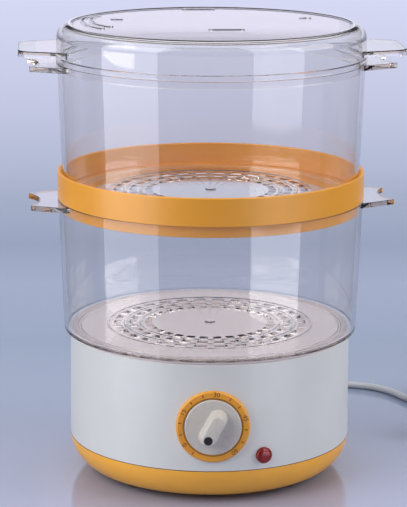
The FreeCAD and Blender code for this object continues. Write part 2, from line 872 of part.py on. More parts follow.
def main_gear():
    wheel = gear(main_gear_teeth, gear_thickness, gear_low, shaft_radius, pinion_direction)
    return to_front(wheel, dial_height)


def escape_pinion():
    """Small gear on its own arbor, driven by the main gear."""
    low = gear_low - pinion_extra / 2
    gap_angle = pinion_direction + 180 + 180.0 / pinion_teeth
    teeth = gear(pinion_teeth, gear_thickness + pinion_extra, low, arbor_radius * 0.5, gap_angle)
    arbor = cylinder(arbor_radius, timer_back + timer_wall + 0.6, timer_plate_front - 0.2)
    return to_front(moved(fused(teeth, arbor), pinion_x, pinion_y, 0), dial_height)


def spring_barrel():
    """Drum round the mainspring, with the switch cam in front of it."""
    drum = ring(barrel_radius, shaft_radius, barrel_low, barrel_low + barrel_thickness)
    return to_front(drum, dial_height)


def switch_cam():
    disc = ring(cam_radius, shaft_radius, cam_low, cam_low + cam_thickness)
    notch = cylinder(cam_notch, cam_low - 1, cam_low + cam_thickness + 1, 0, -cam_radius)
    return to_front(disc.cut(notch), dial_height)


def leaf(index):
    """One spring contact, as a strip through the side of the timer."""
    top = -cam_radius - leaf_clearance - index * leaf_gap
    return block((leaf_start, top - leaf_thickness, leaf_low),
                 (leaf_end, top, leaf_low + leaf_height))


def switch_leaves():
    return [to_front(leaf(index), dial_height) for index in (0, 1)]


def switch_block_shape(margin):
    top = -cam_radius - leaf_clearance + switch_block_margin
    bottom = -cam_radius - leaf_clearance - leaf_gap - leaf_thickness - switch_block_margin
    return block((switch_block_start, bottom - margin, leaf_low - 0.5 - margin),
                 (switch_block_end, top + margin, leaf_low + leaf_height + 0.5 + margin))


def switch_block():
    body = switch_block_shape(0).cut([leaf(0), leaf(1)])
    return to_front(body, dial_height)


def timer_case():
    """Rear half of the timer: a square cup with bearings for the shaft and the arbor."""
    half = timer_half_width
    inner = half - timer_wall
    floor_front = timer_back + timer_wall
    cup = block((-half, -half, timer_back), (half, half, timer_front))
    corners = [edge for edge in cup.Edges
               if abs(edge.Vertexes[0].Z - edge.Vertexes[1].Z) > 1]
    cup = cup.makeFillet(3.0, corners)
    hollow = block((-inner, -inner, floor_front), (inner, inner, timer_front + 1))
    bosses = [cylinder(bearing_radius, floor_front - 0.5, floor_front + bearing_height),
              cylinder(arbor_bearing_radius, floor_front - 0.5, floor_front + bearing_height,
                       pinion_x, pinion_y)]
    cup = fused(cup.cut(hollow), *bosses)
    bores = [cylinder(shaft_radius + shaft_clearance, floor_front, timer_front),
             cylinder(arbor_radius + arbor_clearance, floor_front, timer_front,
                      pinion_x, pinion_y),
             switch_block_shape(slide_gap)]
    return to_front(cup.cut(bores), dial_height)


def timer_plate():
    """Steel front plate of the timer, screwed to the housing's pad."""
    half = timer_half_width
    plate = block((-half, -half, timer_front), (half, half, timer_plate_front))
    corners = [edge for edge in plate.Edges
               if abs(edge.Vertexes[0].Z - edge.Vertexes[1].Z) > timer_plate_thickness / 2]
    plate = plate.makeFillet(3.0, corners)
    low, high = timer_front - 1, timer_plate_front + 1
    cuts = [cylinder(shaft_radius + shaft_clearance, low, high),
            cylinder(arbor_radius + arbor_clearance, low, high, pinion_x, pinion_y)]
    for side in (-1, 1):
        cuts.append(cylinder(timer_screw_radius + hole_gap, low, high, side * timer_screw_offset))
    return to_front(plate.cut(cuts), dial_height)


def timer_screws():
    depth = dial_recess_floor - timer_front + 1.0
    one = screw(timer_screw_head_radius, timer_screw_head_height, timer_screw_radius, depth)
    one.rotate(vec(0, 0, 0), vec(1, 0, 0), 180)
    front = dial_recess_floor + timer_screw_head_height
    return [to_front(moved(one, side * timer_screw_offset, 0, front), dial_height)
            for side in (-1, 1)]


def timer_bell():
    """Bell that rings at the end of the time, a dome behind the case."""
    rim = timer_back
    crown = timer_back - bell_depth
    dome = turned([
        (bell_radius, rim), ("bezier", (bell_radius, crown), (bell_radius, crown), (0, crown)),
        (0, crown + bell_wall),
        ("bezier", (bell_radius - bell_wall, crown + bell_wall),
         (bell_radius - bell_wall, crown + bell_wall), (bell_radius - bell_wall, rim)),
    ])
    stem = cylinder(2.0, crown + bell_wall / 2, rim)
    return to_front(fused(dome, stem), dial_height)


def indicator_lens():
    """Red lamp cap: a low dome on a neck that snaps through the housing."""
    seat = lamp_bore_front - 1.0
    face = tapered_wall(lamp_height)
    lens = turned([
        (lamp_bore_radius, lamp_neck_back), (lamp_neck_radius, lamp_neck_back),
        (lamp_neck_radius, seat - 2.0), (lamp_radius, seat - 2.0), (lamp_radius, face + lamp_flange),
        ("bezier", (lamp_radius, face + lamp_flange + lamp_dome * 0.7),
         (lamp_radius * 0.6, face + lamp_flange + lamp_dome), (0, face + lamp_flange + lamp_dome)),
        (0, lamp_bore_front), (lamp_bore_radius, lamp_bore_front),
    ])
    neck = ring(lamp_neck_radius, lamp_bore_radius, lamp_neck_back, lamp_bore_front)
    placed = to_front(lens, lamp_height).cut(spun(housing_envelope(), 0))
    return spun(fused(placed, to_front(neck, lamp_height)), lamp_turn)


def neon_lamp():
    tube = cylinder(neon_radius, lamp_bore_front - 1 - neon_length, lamp_bore_front - 1)
    tube = round_circles(tube, neon_radius * 0.8, [(neon_radius, lamp_bore_front - 1)])
    legs = [cylinder(0.35, lamp_bore_front - 7 - neon_length, lamp_bore_front - neon_length,
                     side * 1.2) for side in (-1, 1)]
    return spun(to_front(fused(tube, *legs), lamp_height), lamp_turn)


# ---------------------------------------------------------------- stack


def drip_tray():
    """White dish between the tank and the lower bowl, with lipped steam ports."""
    rim_bottom = housing_top
    dish_top = bowl_seat - tray_dish_depth
    dish_bottom = dish_top - tray_floor
    outer_wall = housing_rim_inner - slide_gap * 4
    tray = turned([
        (0, dish_bottom), (outer_wall, dish_bottom), (outer_wall, rim_bottom),
        (tray_rim_radius, rim_bottom), (tray_rim_radius, bowl_seat - 0.6),
        (tray_rim_radius - 0.6, bowl_seat), (tray_dish_radius, bowl_seat),
        (tray_dish_radius - tray_dish_draft, dish_top), (0, dish_top),
    ])
    inside = steam_port_radius - steam_port_width / 2
    outside = steam_port_radius + steam_port_width / 2
    lips = [ring(outside + port_lip_width, outside, dish_top - 1, dish_top + port_lip_height),
            ring(inside, inside - port_lip_width, dish_top - 1, dish_top + port_lip_height)]
    sweep = 360.0 / steam_port_count * steam_port_share
    port = turned([(inside, dish_bottom - 1), (outside, dish_bottom - 1),
                   (outside, dish_top + 3), (inside, dish_top + 3)], sweep)
    return fused(tray, *lips).cut(around(port, steam_port_count))


def bowl_wall_radius(height):
    """Outer radius of a bowl at a height above its own underside."""
    return bowl_bottom_radius + (bowl_rim_radius - bowl_bottom_radius) * height / bowl_height


def steamer_bowl():
    """Clear bowl with a perforated floor and two handles, standing on z = 0."""
    shell = turned([
        (0, 0), (bowl_ring_radius - bowl_ring_wall, 0),
        (bowl_ring_radius - bowl_ring_wall, -bowl_ring_depth),
        (bowl_ring_radius, -bowl_ring_depth), (bowl_ring_radius, 0),
        (bowl_bottom_radius, 0), (bowl_rim_radius, bowl_height),
        (bowl_rim_radius - bowl_wall, bowl_height),
        (bowl_wall_radius(bowl_floor) - bowl_wall, bowl_floor), (0, bowl_floor),
    ])
    shell = round_circles(shell, bowl_edge_round, [(bowl_bottom_radius, 0)])
    details = [cylinder(boss_radius, bowl_floor - 0.5, bowl_floor + boss_height)]
    details += [ring(radius + ridge_width / 2, radius - ridge_width / 2, bowl_floor - 0.5,
                     bowl_floor + ridge_height) for radius in ridge_radii]
    tabs = [spun(bowl_tab(), turn) for turn in (0, 180)]
    shell = fused(shell, *details, *tabs)
    slots = []
    for row, (radius, count) in enumerate(zip(slot_radii, slot_counts)):
        pitch = 360.0 / count
        stagger = pitch / 2 * (row % 2)
        half = slot_width / 2
        slot = turned([(radius - half, -1), (radius + half, -1), (radius + half, bowl_floor + 1),
                       (radius - half, bowl_floor + 1)], pitch * slot_share)
        slots += around(slot, count, stagger)
    return shell.cut(slots)


def bowl_tab():
    """Flat handle at the rim with a hollowed end."""
    tip = tab_reach
    waist = tab_reach - tab_fishtail
    outline = [(tab_root_reach, -tab_root_half), (tip, -tab_tip_half),
               ("arc", (waist, 0), (tip, tab_tip_half)), (tab_root_reach, tab_root_half)]
    plate = prism(outline, bowl_height - tab_thickness, bowl_height)
    corners = [edge for edge in plate.Edges
               if abs(edge.Vertexes[0].Z - edge.Vertexes[1].Z) > 1
               and abs(edge.Vertexes[0].X - tip) < near]
    plate = plate.makeFillet(tab_corner, corners)
    middle = bowl_rim_radius - bowl_wall / 2
    return plate.cut(cylinder(middle, 0, bowl_height + 1))


def placed_bowl(seat):
    return moved(spun(steamer_bowl(), bowl_turn), 0, 0, seat)


def tier_ring():
    """Coloured collar that sits on the lower bowl and carries the upper one."""
    collar_top = ring_seat + ring_collar_height
    collar_inner = ring_radius - ring_collar_wall
    skirt_inner = ring_skirt_radius - ring_skirt_wall
    skirt_bottom = ring_seat - ring_skirt_depth
    shape = turned([
        (skirt_inner, skirt_bottom), (ring_skirt_radius, skirt_bottom),
        (ring_skirt_radius, ring_seat), (ring_radius, ring_seat), (ring_radius, collar_top),
        (collar_inner, collar_top), (collar_inner, upper_bowl_seat),
        (ring_ledge_radius, upper_bowl_seat), (ring_ledge_radius, ring_seat),
        (skirt_inner, ring_seat),
    ])
    return round_circles(shape, ring_lip_round,
                         [(ring_radius, collar_top), (collar_inner, collar_top)])


def lid():
    """Clear lid with a spigot, a rounded shoulder, vents and two handles."""
    arc_centre = (lid_radius - lid_shoulder, lid_height - lid_shoulder)
    inner = lid_radius - lid_wall
    spigot_inner = lid_spigot_radius - lid_spigot_wall
    top = lid_height - lid_step
    under = top - lid_wall
    inner_shoulder = lid_shoulder - lid_wall
    shell = turned([
        (spigot_inner, -lid_spigot_depth), (lid_spigot_radius, -lid_spigot_depth),
        (lid_spigot_radius, 0), (lid_radius + lid_bead, 0),
        (lid_radius + lid_bead, lid_bead_height), (lid_radius, lid_bead_height + lid_bead),
        (lid_radius, arc_centre[1]),
        arc_through(arc_centre, lid_shoulder, 0, 90),
        (arc_centre[0] - lid_step * 0.6, top), (0, top), (0, under),
        (arc_centre[0] - lid_step, under), (arc_centre[0], lid_height - lid_wall),
        arc_through(arc_centre, inner_shoulder, 90, 0),
        (inner, lid_bead_height), (spigot_inner, lid_bead_height - 1.6),
    ])
    shell = fused(shell, *[spun(lid_handle(), turn) for turn in (0, 180)])
    shell = shell.cut(lid_vents(under - 1, top + 1))
    return moved(spun(shell, lid_turn), 0, 0, lid_seat)


def rounded_end(reach, half, corner, low, high):
    """Plate from the axis out to a reach, with two round outer corners."""
    slant = corner * (1 - math.sqrt(0.5))
    outline = [
        (0, -half), (reach - corner, -half),
        ("arc", (reach - slant, -half + slant), (reach, -half + corner)),
        (reach, half - corner),
        ("arc", (reach - slant, half - slant), (reach - corner, half)),
        (0, half),
    ]
    return prism(outline, low, high)


def lid_handle():
    """Handle with its edge turned down all round."""
    bottom = lid_handle_top - lid_handle_lip
    plate = rounded_end(lid_handle_reach, lid_handle_half, lid_handle_corner,
                        bottom, lid_handle_top)
    top_edges = [edge for edge in plate.Edges
                 if all(abs(v.Z - lid_handle_top) < near for v in edge.Vertexes)
                 and max(v.X for v in edge.Vertexes) > lid_radius]
    plate = plate.makeFillet(1.0, top_edges)
    pocket = rounded_end(lid_handle_reach - lid_handle_lip_wall,
                         lid_handle_half - lid_handle_lip_wall,
                         lid_handle_corner - lid_handle_lip_wall,
                         bottom - 1, lid_handle_top - lid_handle_plate)
    pocket = pocket.cut(cylinder(lid_radius - near, bottom - 2, lid_handle_top + 2))
    core = cylinder(lid_radius - lid_wall / 2, bottom - 2, lid_handle_top + 2)
    return plate.cut([pocket, core])


def lid_vents(low, high):
    """Steam vents through the top: two crescents, two rounds and two oblongs."""
    half = crescent_width / 2
    vents = []
    for (x, y, radius), (start, end) in zip(crescent_spots, crescent_angles):
        sector = turned([(radius - half, low), (radius + half, low), (radius + half, high),
                         (radius - half, high)], end - start)
        vents.append(moved(spun(sector, start), x, y, 0))
    vents += [cylinder(round_vent_radius, low, high, x, y) for x, y in round_vent_spots]
    for x, y, length in oblong_vent_spots:
        half = oblong_vent_width / 2
        straight = length / 2 - half
        vents.append(block((x - straight, y - half, low), (x + straight, y + half, high)))
        vents += [cylinder(half, low, high, x + side * straight, y) for side in (-1, 1)]
    return vents


# ---------------------------------------------------------------- cord


# Centre line from the strain relief to the coil.
cord_route = [
    (0.0, relief_tip, cord_exit_height),
    (0.0, 148.0, cord_exit_height),
    (1.0, 165.0, 32.3),
    (6.0, 184.5, 21.3),
    (17.0, 202.0, 10.3),
    (36.0, 212.0, 3.6),
    (59.0, 212.5, 2.8),
    (82.0, 204.5, 2.8),
    (104.0, 195.0, 2.8),
    (126.0, 190.5, 2.8),
    (144.5, 183.0, 2.8),
    (157.0, 170.5, 2.8),
    (167.5, 156.5, 2.8),
    (181.0, 145.0, 2.8),
]
# Centre line from the coil's top turn to the plug.
tail_route = [
    (176.9, 157.0, 8.7),
    (180.5, 143.0, 11.8),
    (185.5, 129.5, 16.0),
    (plug_x, 116.5, plug_radius),
    (plug_x, plug_y, plug_radius),
]
coil_start_angle = -112.0
coil_end_angle = 180.0
coil_turns = 3


def coil_point(angle, layer):
    """A point on the coil's outer turns, on the table or one cord higher."""
    radius = coil_diameter / 2 + cord_diameter / 2
    turn = math.radians(angle)
    return (coil_x + radius * math.cos(turn), coil_y + radius * math.sin(turn),
            cord_diameter * (layer + 0.5) + 0.05)


def tube_along(points, diameter):
    """Tube of straight runs joined by tangent arcs, as large as the runs allow."""
    places = [vec(*point) for point in points]
    edges = []
    radii = []
    here = places[0]
    for before, corner, after in zip(places, places[1:], places[2:]):
        arriving = (corner - before).normalize()
        leaving = (after - corner).normalize()
        turn = arriving.getAngle(leaving)
        trim = 0.45 * min((corner - before).Length, (after - corner).Length)
        radius = trim / math.tan(turn / 2)
        start = corner - arriving * trim
        end = corner + leaving * trim
        inward = (leaving - arriving).normalize()
        reach = radius / math.cos(turn / 2) - radius
        edges.append(Part.LineSegment(here, start).toShape())
        edges.append(Part.Arc(start, corner + inward * reach, end).toShape())
        radii.append(radius)
        here = end
    edges.append(Part.LineSegment(here, places[-1]).toShape())
    path = Part.Wire(edges)
    direction = (places[1] - places[0]).normalize()
    section = Part.Wire(Part.makeCircle(diameter / 2, places[0], direction))
    tube = path.makePipeShell([section], True, False)
    expected = path.Length * math.pi * diameter ** 2 / 4
    return tube, radii, path.Length, tube.Volume / expected


def report_tube(name, radii, length, ratio):
    print(f"{name}: radii {' '.join(f'{r:.0f}' for r in radii)} mm, "
          f"length {length:.0f} mm, volume ratio {ratio:.4f}")


def power_cord():
    tube, radii, length, ratio = tube_along(
        cord_route + [coil_point(coil_start_angle, 0)], cord_diameter)
    report_tube("power_cord", radii, length, ratio)
    return tube


def cord_tail():
    tube, radii, length, ratio = tube_along(
        [coil_point(coil_end_angle, 1)] + tail_route, cord_diameter)
    report_tube("cord_tail", radii, length, ratio)
    return tube


def cord_coil():
    """Envelope of the put-away turns, two side by side and two high."""
    middle = coil_diameter / 2
    angle = 360.0 * coil_turns + coil_end_angle - coil_start_angle
    print(f"cord_coil: {angle / 360:.2f} turns, {math.radians(angle) * middle:.0f} mm")
    return ring(middle + cord_diameter, middle - cord_diameter, 0, 2 * cord_diameter,
                coil_x, coil_y)


def cord_strain_relief():
    """Ribbed, tapered sleeve moulded on the cord, its flange inside the housing."""
    wall = tapered_wall(cord_exit_height)
    flange_front = wall - body_wall - 0.4
    neck_front = wall + 0.05
    collar_front = neck_front + relief_collar
    outline = [(0, flange_front - relief_flange), (relief_flange_radius, flange_front - relief_flange),
               (relief_flange_radius, flange_front), (relief_neck_radius, flange_front),
               (relief_neck_radius, neck_front), (relief_collar_radius, neck_front),
               (relief_collar_radius, collar_front)]
    pitch = (relief_tip - collar_front) / relief_ribs
    for k in range(relief_ribs):
        start = collar_front + k * pitch
        for share, cut in ((0.0, relief_groove), (0.35, relief_groove), (0.35, 0.0), (1.0, 0.0)):
            place = start + share * pitch
            along = (place - collar_front) / (relief_tip - collar_front)
            radius = relief_start_radius + along * (relief_tip_radius - relief_start_radius)
            outline.append((radius - cut, place))
    outline.append((0, relief_tip))
    return to_back(turned(outline), cord_exit_height)


def inner_cord():
    wall = tapered_wall(cord_exit_height)
    start = wall - body_wall - 0.4 - relief_flange
    return Part.makeCylinder(cord_diameter / 2, start - inner_cord_end,
                             vec(0, inner_cord_end, cord_exit_height), vec(0, 1, 0))


def cord_clamp():
    bar = block((-saddle_half_length, saddle_y - saddle_width / 2, clamp_bottom),
                (saddle_half_length, saddle_y + saddle_width / 2, clamp_top))
    holes = [cylinder(clamp_screw_radius + screw_gap, clamp_bottom - 1,
                      clamp_top + 1, side * clamp_screw_offset, saddle_y)
             for side in (-1, 1)]
    return bar.cut(holes)


def clamp_screws():
    one = screw(clamp_screw_head_radius, clamp_screw_head_height, clamp_screw_radius,
                clamp_screw_length - screw_gap)
    one.rotate(vec(0, 0, 0), vec(1, 0, 0), 180)
    top = clamp_top + clamp_screw_head_height
    return [moved(one, side * clamp_screw_offset, saddle_y, top) for side in (-1, 1)]


def terminal_block():
    low = (-terminal_length / 2, terminal_y - terminal_width / 2, cover_inside)
    high = (terminal_length / 2, terminal_y + terminal_width / 2, cover_inside + terminal_height)
    body = block(low, high)
    bores = [Part.makeCylinder(terminal_bore_radius, terminal_width + 2,
                               vec(x, low[1] - 1, terminal_bore_height()), vec(0, 1, 0))
             for x in terminal_places()]
    return body.cut(bores)


def terminal_bore_height():
    return cover_inside + terminal_height / 2


def terminal_places():
    return [(k - 1) * terminal_length / 3 for k in range(3)]


def lead(points):
    return tube_along(points, lead_diameter)[0]


def cord_core(index):
    """One core from the cord's cut end to the terminal block."""
    x = terminal_places()[index]
    z = terminal_bore_height()
    back = terminal_y + terminal_width / 2
    start_x = (index - 1) * lead_diameter * 1.04
    return lead([(start_x, inner_cord_end, cord_exit_height),
                 (start_x, inner_cord_end - 5, cord_exit_height),
                 (x * 0.8, back + 5, z + 12), (x, back + 3.5, z + 0.8), (x, back - 4, z)])


def live_leads():
    """From the terminal block to the timer's lower contact, and its own core."""
    x = terminal_places()[0]
    z = terminal_bore_height()
    front = terminal_y - terminal_width / 2
    contact = dial_height - cam_radius - leaf_clearance - leaf_gap - leaf_thickness
    timer_x = leaf_end - lead_diameter / 2
    timer_y = -(leaf_low + leaf_height / 2)
    side = timer_half_width + 2
    bell_back = timer_back - bell_depth
    run = lead([(x, front + 4, z), (x - 1, front - 8, z - 1), (x - 6, 0, lead_low),
                (0, -bell_back / 2, lead_low), (side * 0.75, -bell_back, lead_low + 4.5),
                (side, 6.0 - gear_low, lead_low + 16.5),
                (timer_x, timer_y, contact - 9), (timer_x, timer_y, contact)])
    return [cord_core(0), run]


def neutral_leads():
    """From the terminal block to the heater's cold end, and its own core."""
    x = terminal_places()[2]
    z = terminal_bore_height()
    front = terminal_y - terminal_width / 2
    centre_z = plate_bottom - tube_radius - hole_gap
    pin_low = centre_z - tube_radius - tube_pin_length
    angle = 90 + (360 - tube_sweep) / 2 + tube_sweep - 4
    pin_x, pin_y = circle_spots(tube_circle_radius, (angle,))[0]
    run = lead([(x, front + 4, z), (x + 1, front - 5, z), (pin_x + 1, pin_y - 2, pin_low - 12),
                (pin_x, pin_y, pin_low - 6), (pin_x, pin_y, pin_low)])
    return [cord_core(2), run]


def earth_lead():
    """From the terminal block to the heating plate."""
    x = terminal_places()[1]
    z = terminal_bore_height()
    front = terminal_y - terminal_width / 2
    run = lead([(x, front + 4, z), (x - 0.5, front - 8, z + 1.5), (x - 6, 15, z + 8),
                (x - 15, 10, z + 17), (x - 15, 10, plate_bottom)])
    return [cord_core(1), run]


def plug_body():
    """Straight moulded plug with its own relief; the cord enters at local z = 0."""
    face = plug_length
    barrel_start = face - plug_barrel
    shoulder_start = barrel_start - plug_shoulder
    body = turned([
        (0, 0), (plug_relief_tip_radius, 0), (plug_relief_radius, plug_relief),
        (plug_neck_radius, plug_relief + 2.0),
        ("bezier", (plug_neck_radius + 1.0, shoulder_start), (plug_radius, shoulder_start),
         (plug_radius, barrel_start)),
        (plug_radius, face), (0, face),
    ])
    body = round_circles(body, plug_edge_round, [(plug_radius, face)])
    cuts = [cylinder(plug_pin_root_radius, face - plug_pin_root, face + 1,
                     0, side * plug_pin_spacing / 2) for side in (-1, 1)]
    for side in (-1, 1):
        inner = plug_radius - earth_clip_depth
        slot = block((inner, -earth_clip_width / 2, face - earth_clip_length),
                     (plug_radius + 1, earth_clip_width / 2, face + 1))
        cuts.append(slot if side == 1 else spun(slot, 180))
    return body.cut(cuts)


def plug_pins():
    face = plug_length
    pins = []
    for side in (-1, 1):
        y = side * plug_pin_spacing / 2
        pin = cylinder(plug_pin_radius, face, face + plug_pin_length)
        pin = round_circles(pin, plug_pin_radius * 0.6, [(plug_pin_radius, face + plug_pin_length)])
        root = cylinder(plug_pin_root_radius, face - plug_pin_root, face + 1)
        pins.append(moved(fused(pin, root), 0, y, 0))
    return pins


def plug_earth_clips():
    inner = plug_radius - earth_clip_depth
    margin = 0.8
    clip = block((inner, -earth_clip_width / 2 + margin, plug_length - earth_clip_length),
                 (inner + earth_clip_thickness, earth_clip_width / 2 - margin,
                  plug_length - margin))
    return [clip, spun(clip, 180)]


def at_plug(shape):
    return moved(to_front(shape, plug_radius), plug_x, plug_y, 0)


# ---------------------------------------------------------------- write the nodes


def main():
    os.makedirs("parts", exist_ok=True)
    save("base_housing", base_housing())
    save("bottom_cover", bottom_cover())
    save("rubber_feet", *rubber_feet())
    save("cover_screws", *cover_screws())
    save("water_tank", water_tank())
    save("turbo_ring", turbo_ring())
    save("heating_plate", heating_plate())
    save("heating_tube", heating_tube())
    save("heater_gasket", heater_gasket())
    save("heater_screws", *heater_screws())
    save("thermostat", thermostat())
    save("thermal_fuse", thermal_fuse())
    save("dial_ring", dial_ring())
    save("timer_knob", timer_knob())
    save("pointer_dot", pointer_dot())
    save("timer_shaft", timer_shaft())
    save("main_gear", main_gear())
    save("spring_barrel", spring_barrel())
    save("switch_cam", switch_cam())
    save("escape_pinion", escape_pinion())
    save("timer_case", timer_case())
    save("timer_plate", timer_plate())
    save("timer_bell", timer_bell())
    save("timer_screws", *timer_screws())
    save("switch_leaves", *switch_leaves())
    save("switch_block", switch_block())
    save("indicator_lens", indicator_lens())
    save("neon_lamp", neon_lamp())
    save("drip_tray", drip_tray())
    save("lower_bowl", placed_bowl(bowl_seat))
    save("tier_ring", tier_ring())
    save("upper_bowl", placed_bowl(upper_bowl_seat))
    save("lid", lid())
    save("terminal_block", terminal_block())
    save("live_leads", *live_leads())
    save("neutral_leads", *neutral_leads())
    save("earth_lead", *earth_lead())
    save("cord_clamp", cord_clamp())
    save("clamp_screws", *clamp_screws())
    save("inner_cord", inner_cord())
    save("cord_strain_relief", cord_strain_relief())
    save("power_cord", power_cord())
    save("cord_coil", cord_coil())
    save("cord_tail", cord_tail())
    save("plug_body", at_plug(plug_body()))
    save("plug_pins", *[at_plug(pin) for pin in plug_pins()])
    save("plug_earth_clips", *[at_plug(clip) for clip in plug_earth_clips()])


main()
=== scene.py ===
import math

import bmesh
import bpy
from mathutils import Matrix, Vector


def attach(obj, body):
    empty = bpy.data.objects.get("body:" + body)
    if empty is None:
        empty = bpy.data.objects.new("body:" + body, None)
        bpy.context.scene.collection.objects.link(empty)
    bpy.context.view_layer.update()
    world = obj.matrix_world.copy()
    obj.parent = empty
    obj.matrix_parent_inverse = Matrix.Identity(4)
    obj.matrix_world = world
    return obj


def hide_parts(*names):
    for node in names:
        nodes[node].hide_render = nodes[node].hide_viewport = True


# Looks of the electric food steamer. Lengths here are millimetres in the frame of the
# CAD model, times MM where Blender gets them. +Z is up and the timer dial faces -Y.

MM = 0.001

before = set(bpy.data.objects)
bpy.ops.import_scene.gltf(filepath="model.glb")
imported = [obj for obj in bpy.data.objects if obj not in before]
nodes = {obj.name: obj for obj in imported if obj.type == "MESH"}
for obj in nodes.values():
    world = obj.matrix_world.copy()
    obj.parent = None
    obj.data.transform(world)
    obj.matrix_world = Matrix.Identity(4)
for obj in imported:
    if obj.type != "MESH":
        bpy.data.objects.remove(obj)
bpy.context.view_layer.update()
scene = bpy.context.scene

# ---------------------------------------------------------------- sizes of the model

seam_height = 26.5
seam_radius = 104.14
dial_height = 60.0
dial_face = 106.0
knob_back = 102.3
knob_face = 107.2
grip_top = knob_face + 9.8
dot_offset = 7.6             # from the knob's middle to the dot's
pointer_angle = 152.0        # anticlockwise from straight up

bowl_seat = 107.6
bowl_height = 97.9
bowl_foot_radius = 108.4
bowl_rim_radius = 112.1
bowl_wall = 2.2
bowl_floor = 2.0
bowl_turn = 5.2

ring_seat = bowl_seat + bowl_height
ring_ledge = 2.75
ring_radius = 112.5
ring_wall = 2.3
upper_bowl_seat = ring_seat + ring_ledge

lid_seat = upper_bowl_seat + bowl_height
lid_radius = 112.5
lid_height = 26.85
lid_wall = 2.2
lid_turn = 2.9

cord_diameter = 5.5
cord_exit = (0.0, 136.0, 38.0)
cord_route = [
    cord_exit,
    (0.0, 148.0, 38.0),
    (1.0, 165.0, 32.3),
    (6.0, 184.5, 21.3),
    (17.0, 202.0, 10.3),
    (36.0, 212.0, 3.6),
    (59.0, 212.5, 2.8),
    (82.0, 204.5, 2.8),
    (104.0, 201.0, 2.8),
    (126.0, 198.0, 2.8),
    (145.5, 190.0, 2.8),
    (159.0, 174.5, 2.8),
    (167.5, 156.5, 2.8),
    (181.0, 145.0, 2.8),
]
tail_route = [
    (176.9, 157.0, 8.7),
    (180.5, 143.0, 11.8),
    (185.5, 129.5, 16.0),
    (189.0, 116.5, 18.5),
    (189.0, 104.0, 18.5),
]
coil_centre = (212.0, 172.0)
coil_middle = 33.0
coil_start = -112.0
coil_end = 1260.0            # three turns and the rest, in degrees

sharp_angle = 35.0           # edges that turn more than this show as edges
card_white = (0.90, 0.91, 1.0)
ray_bounces = 24             # enough for a look through both bowls and the lid

# ---------------------------------------------------------------- camera and lights


def add_camera():
    """The photograph's view: from in front, a little above, with a long lens."""
    sensor, focal_pixels, frame_pixels = 36.0, 2190.0, 507.0
    round_object, downward, roll = -1.3, 12.825, 0.31
    data = bpy.data.cameras.new("camera")
    data.sensor_fit = "VERTICAL"
    data.sensor_height = sensor
    data.lens = sensor * focal_pixels / frame_pixels
    data.clip_start = 0.05
    data.clip_end = 50.0
    camera = bpy.data.objects.new("camera", data)
    swing = Matrix.Rotation(math.radians(round_object), 4, "Z")
    spot = swing @ Vector((-5.0, -1583.0, 521.9)) * MM
    turn = (swing @ Matrix.Rotation(math.radians(90 - downward), 4, "X")
            @ Matrix.Rotation(math.radians(roll), 4, "Z"))
    camera.matrix_world = Matrix.Translation(spot) @ turn
    scene.collection.objects.link(camera)
    scene.camera = camera


def add_light(name, spot, target, size, power, color):
    """A soft rectangular lamp, aimed at a target and unseen in gloss, in metres and watts."""
    data = bpy.data.lights.new(name, "AREA")
    data.shape = "RECTANGLE"
    data.size, data.size_y = size
    data.energy = power
    data.color = color
    lamp = bpy.data.objects.new(name, data)
    lamp.location = spot
    aim = Vector(target) - Vector(spot)
    lamp.rotation_euler = aim.to_track_quat("-Z", "Y").to_euler()
    lamp.visible_glossy = False
    scene.collection.objects.link(lamp)


# ---------------------------------------------------------------- mesh helpers


def new_object(name, mesh):
    """Put a mesh into the scene as an object of its own."""
    piece = bpy.data.objects.new(name, mesh)
    scene.collection.objects.link(piece)
    return piece


def finish_mesh(bm, name):
    """Weld, face outwards, and shade smooth with sharp edges kept."""
    bmesh.ops.remove_doubles(bm, verts=bm.verts, dist=1e-7)
    bmesh.ops.recalc_face_normals(bm, faces=bm.faces)
    mesh = bpy.data.meshes.new(name)
    bm.to_mesh(mesh)
    bm.free()
    smooth(mesh)
    return mesh


def smooth(mesh):
    """Shade smooth, apart from the edges that turn sharply."""
    mesh.shade_smooth()
    mesh.set_sharp_from_angle(angle=math.radians(sharp_angle))


def rounded(points, steps=5):
    """A closed outline of (r, z) or (r, z, rounding) points, its corners rounded."""
    result = []
    count = len(points)
    for k, point in enumerate(points):
        here = Vector(point[:2])
        radius = point[2] if len(point) > 2 else 0.0
        if radius <= 0:
            result.append(tuple(here))
            continue
        back = (Vector(points[k - 1][:2]) - here).normalized()
        ahead = (Vector(points[(k + 1) % count][:2]) - here).normalized()
        half = back.angle(ahead) / 2
        trim = radius / math.tan(half)
        bisector = (back + ahead).normalized()
        centre = here + bisector * (radius / math.sin(half))
        start = (here + back * trim) - centre
        end = (here + ahead * trim) - centre
        swept = start.angle_signed(end)
        for step in range(steps + 1):
            turn = -swept * step / steps
            c, s = math.cos(turn), math.sin(turn)
            result.append((centre.x + c * start.x - s * start.y,
                           centre.y + s * start.x + c * start.y))
    return result


def lathe(name, outline, segments=224):
    """A closed solid of revolution about Z from a closed (radius, height) outline."""
    bm = bmesh.new()
    rings = []
    for radius, height in outline:
        if radius < 1e-6:
            rings.append([bm.verts.new((0, 0, height * MM))])
            continue
        ring = []
        for k in range(segments):
            turn = 2 * math.pi * k / segments
            ring.append(bm.verts.new((radius * MM * math.cos(turn),
                                      radius * MM * math.sin(turn), height * MM)))
        rings.append(ring)
    for this, following in zip(rings, rings[1:] + rings[:1]):
        if len(this) == 1 and len(following) == 1:
            continue
        for k in range(segments):
            n = (k + 1) % segments
            corners = []
            for corner in (this[k % len(this)], this[n % len(this)],
                           following[n % len(following)], following[k % len(following)]):
                if corner not in corners:
                    corners.append(corner)
            bm.faces.new(corners)
    return new_object(name, finish_mesh(bm, name))


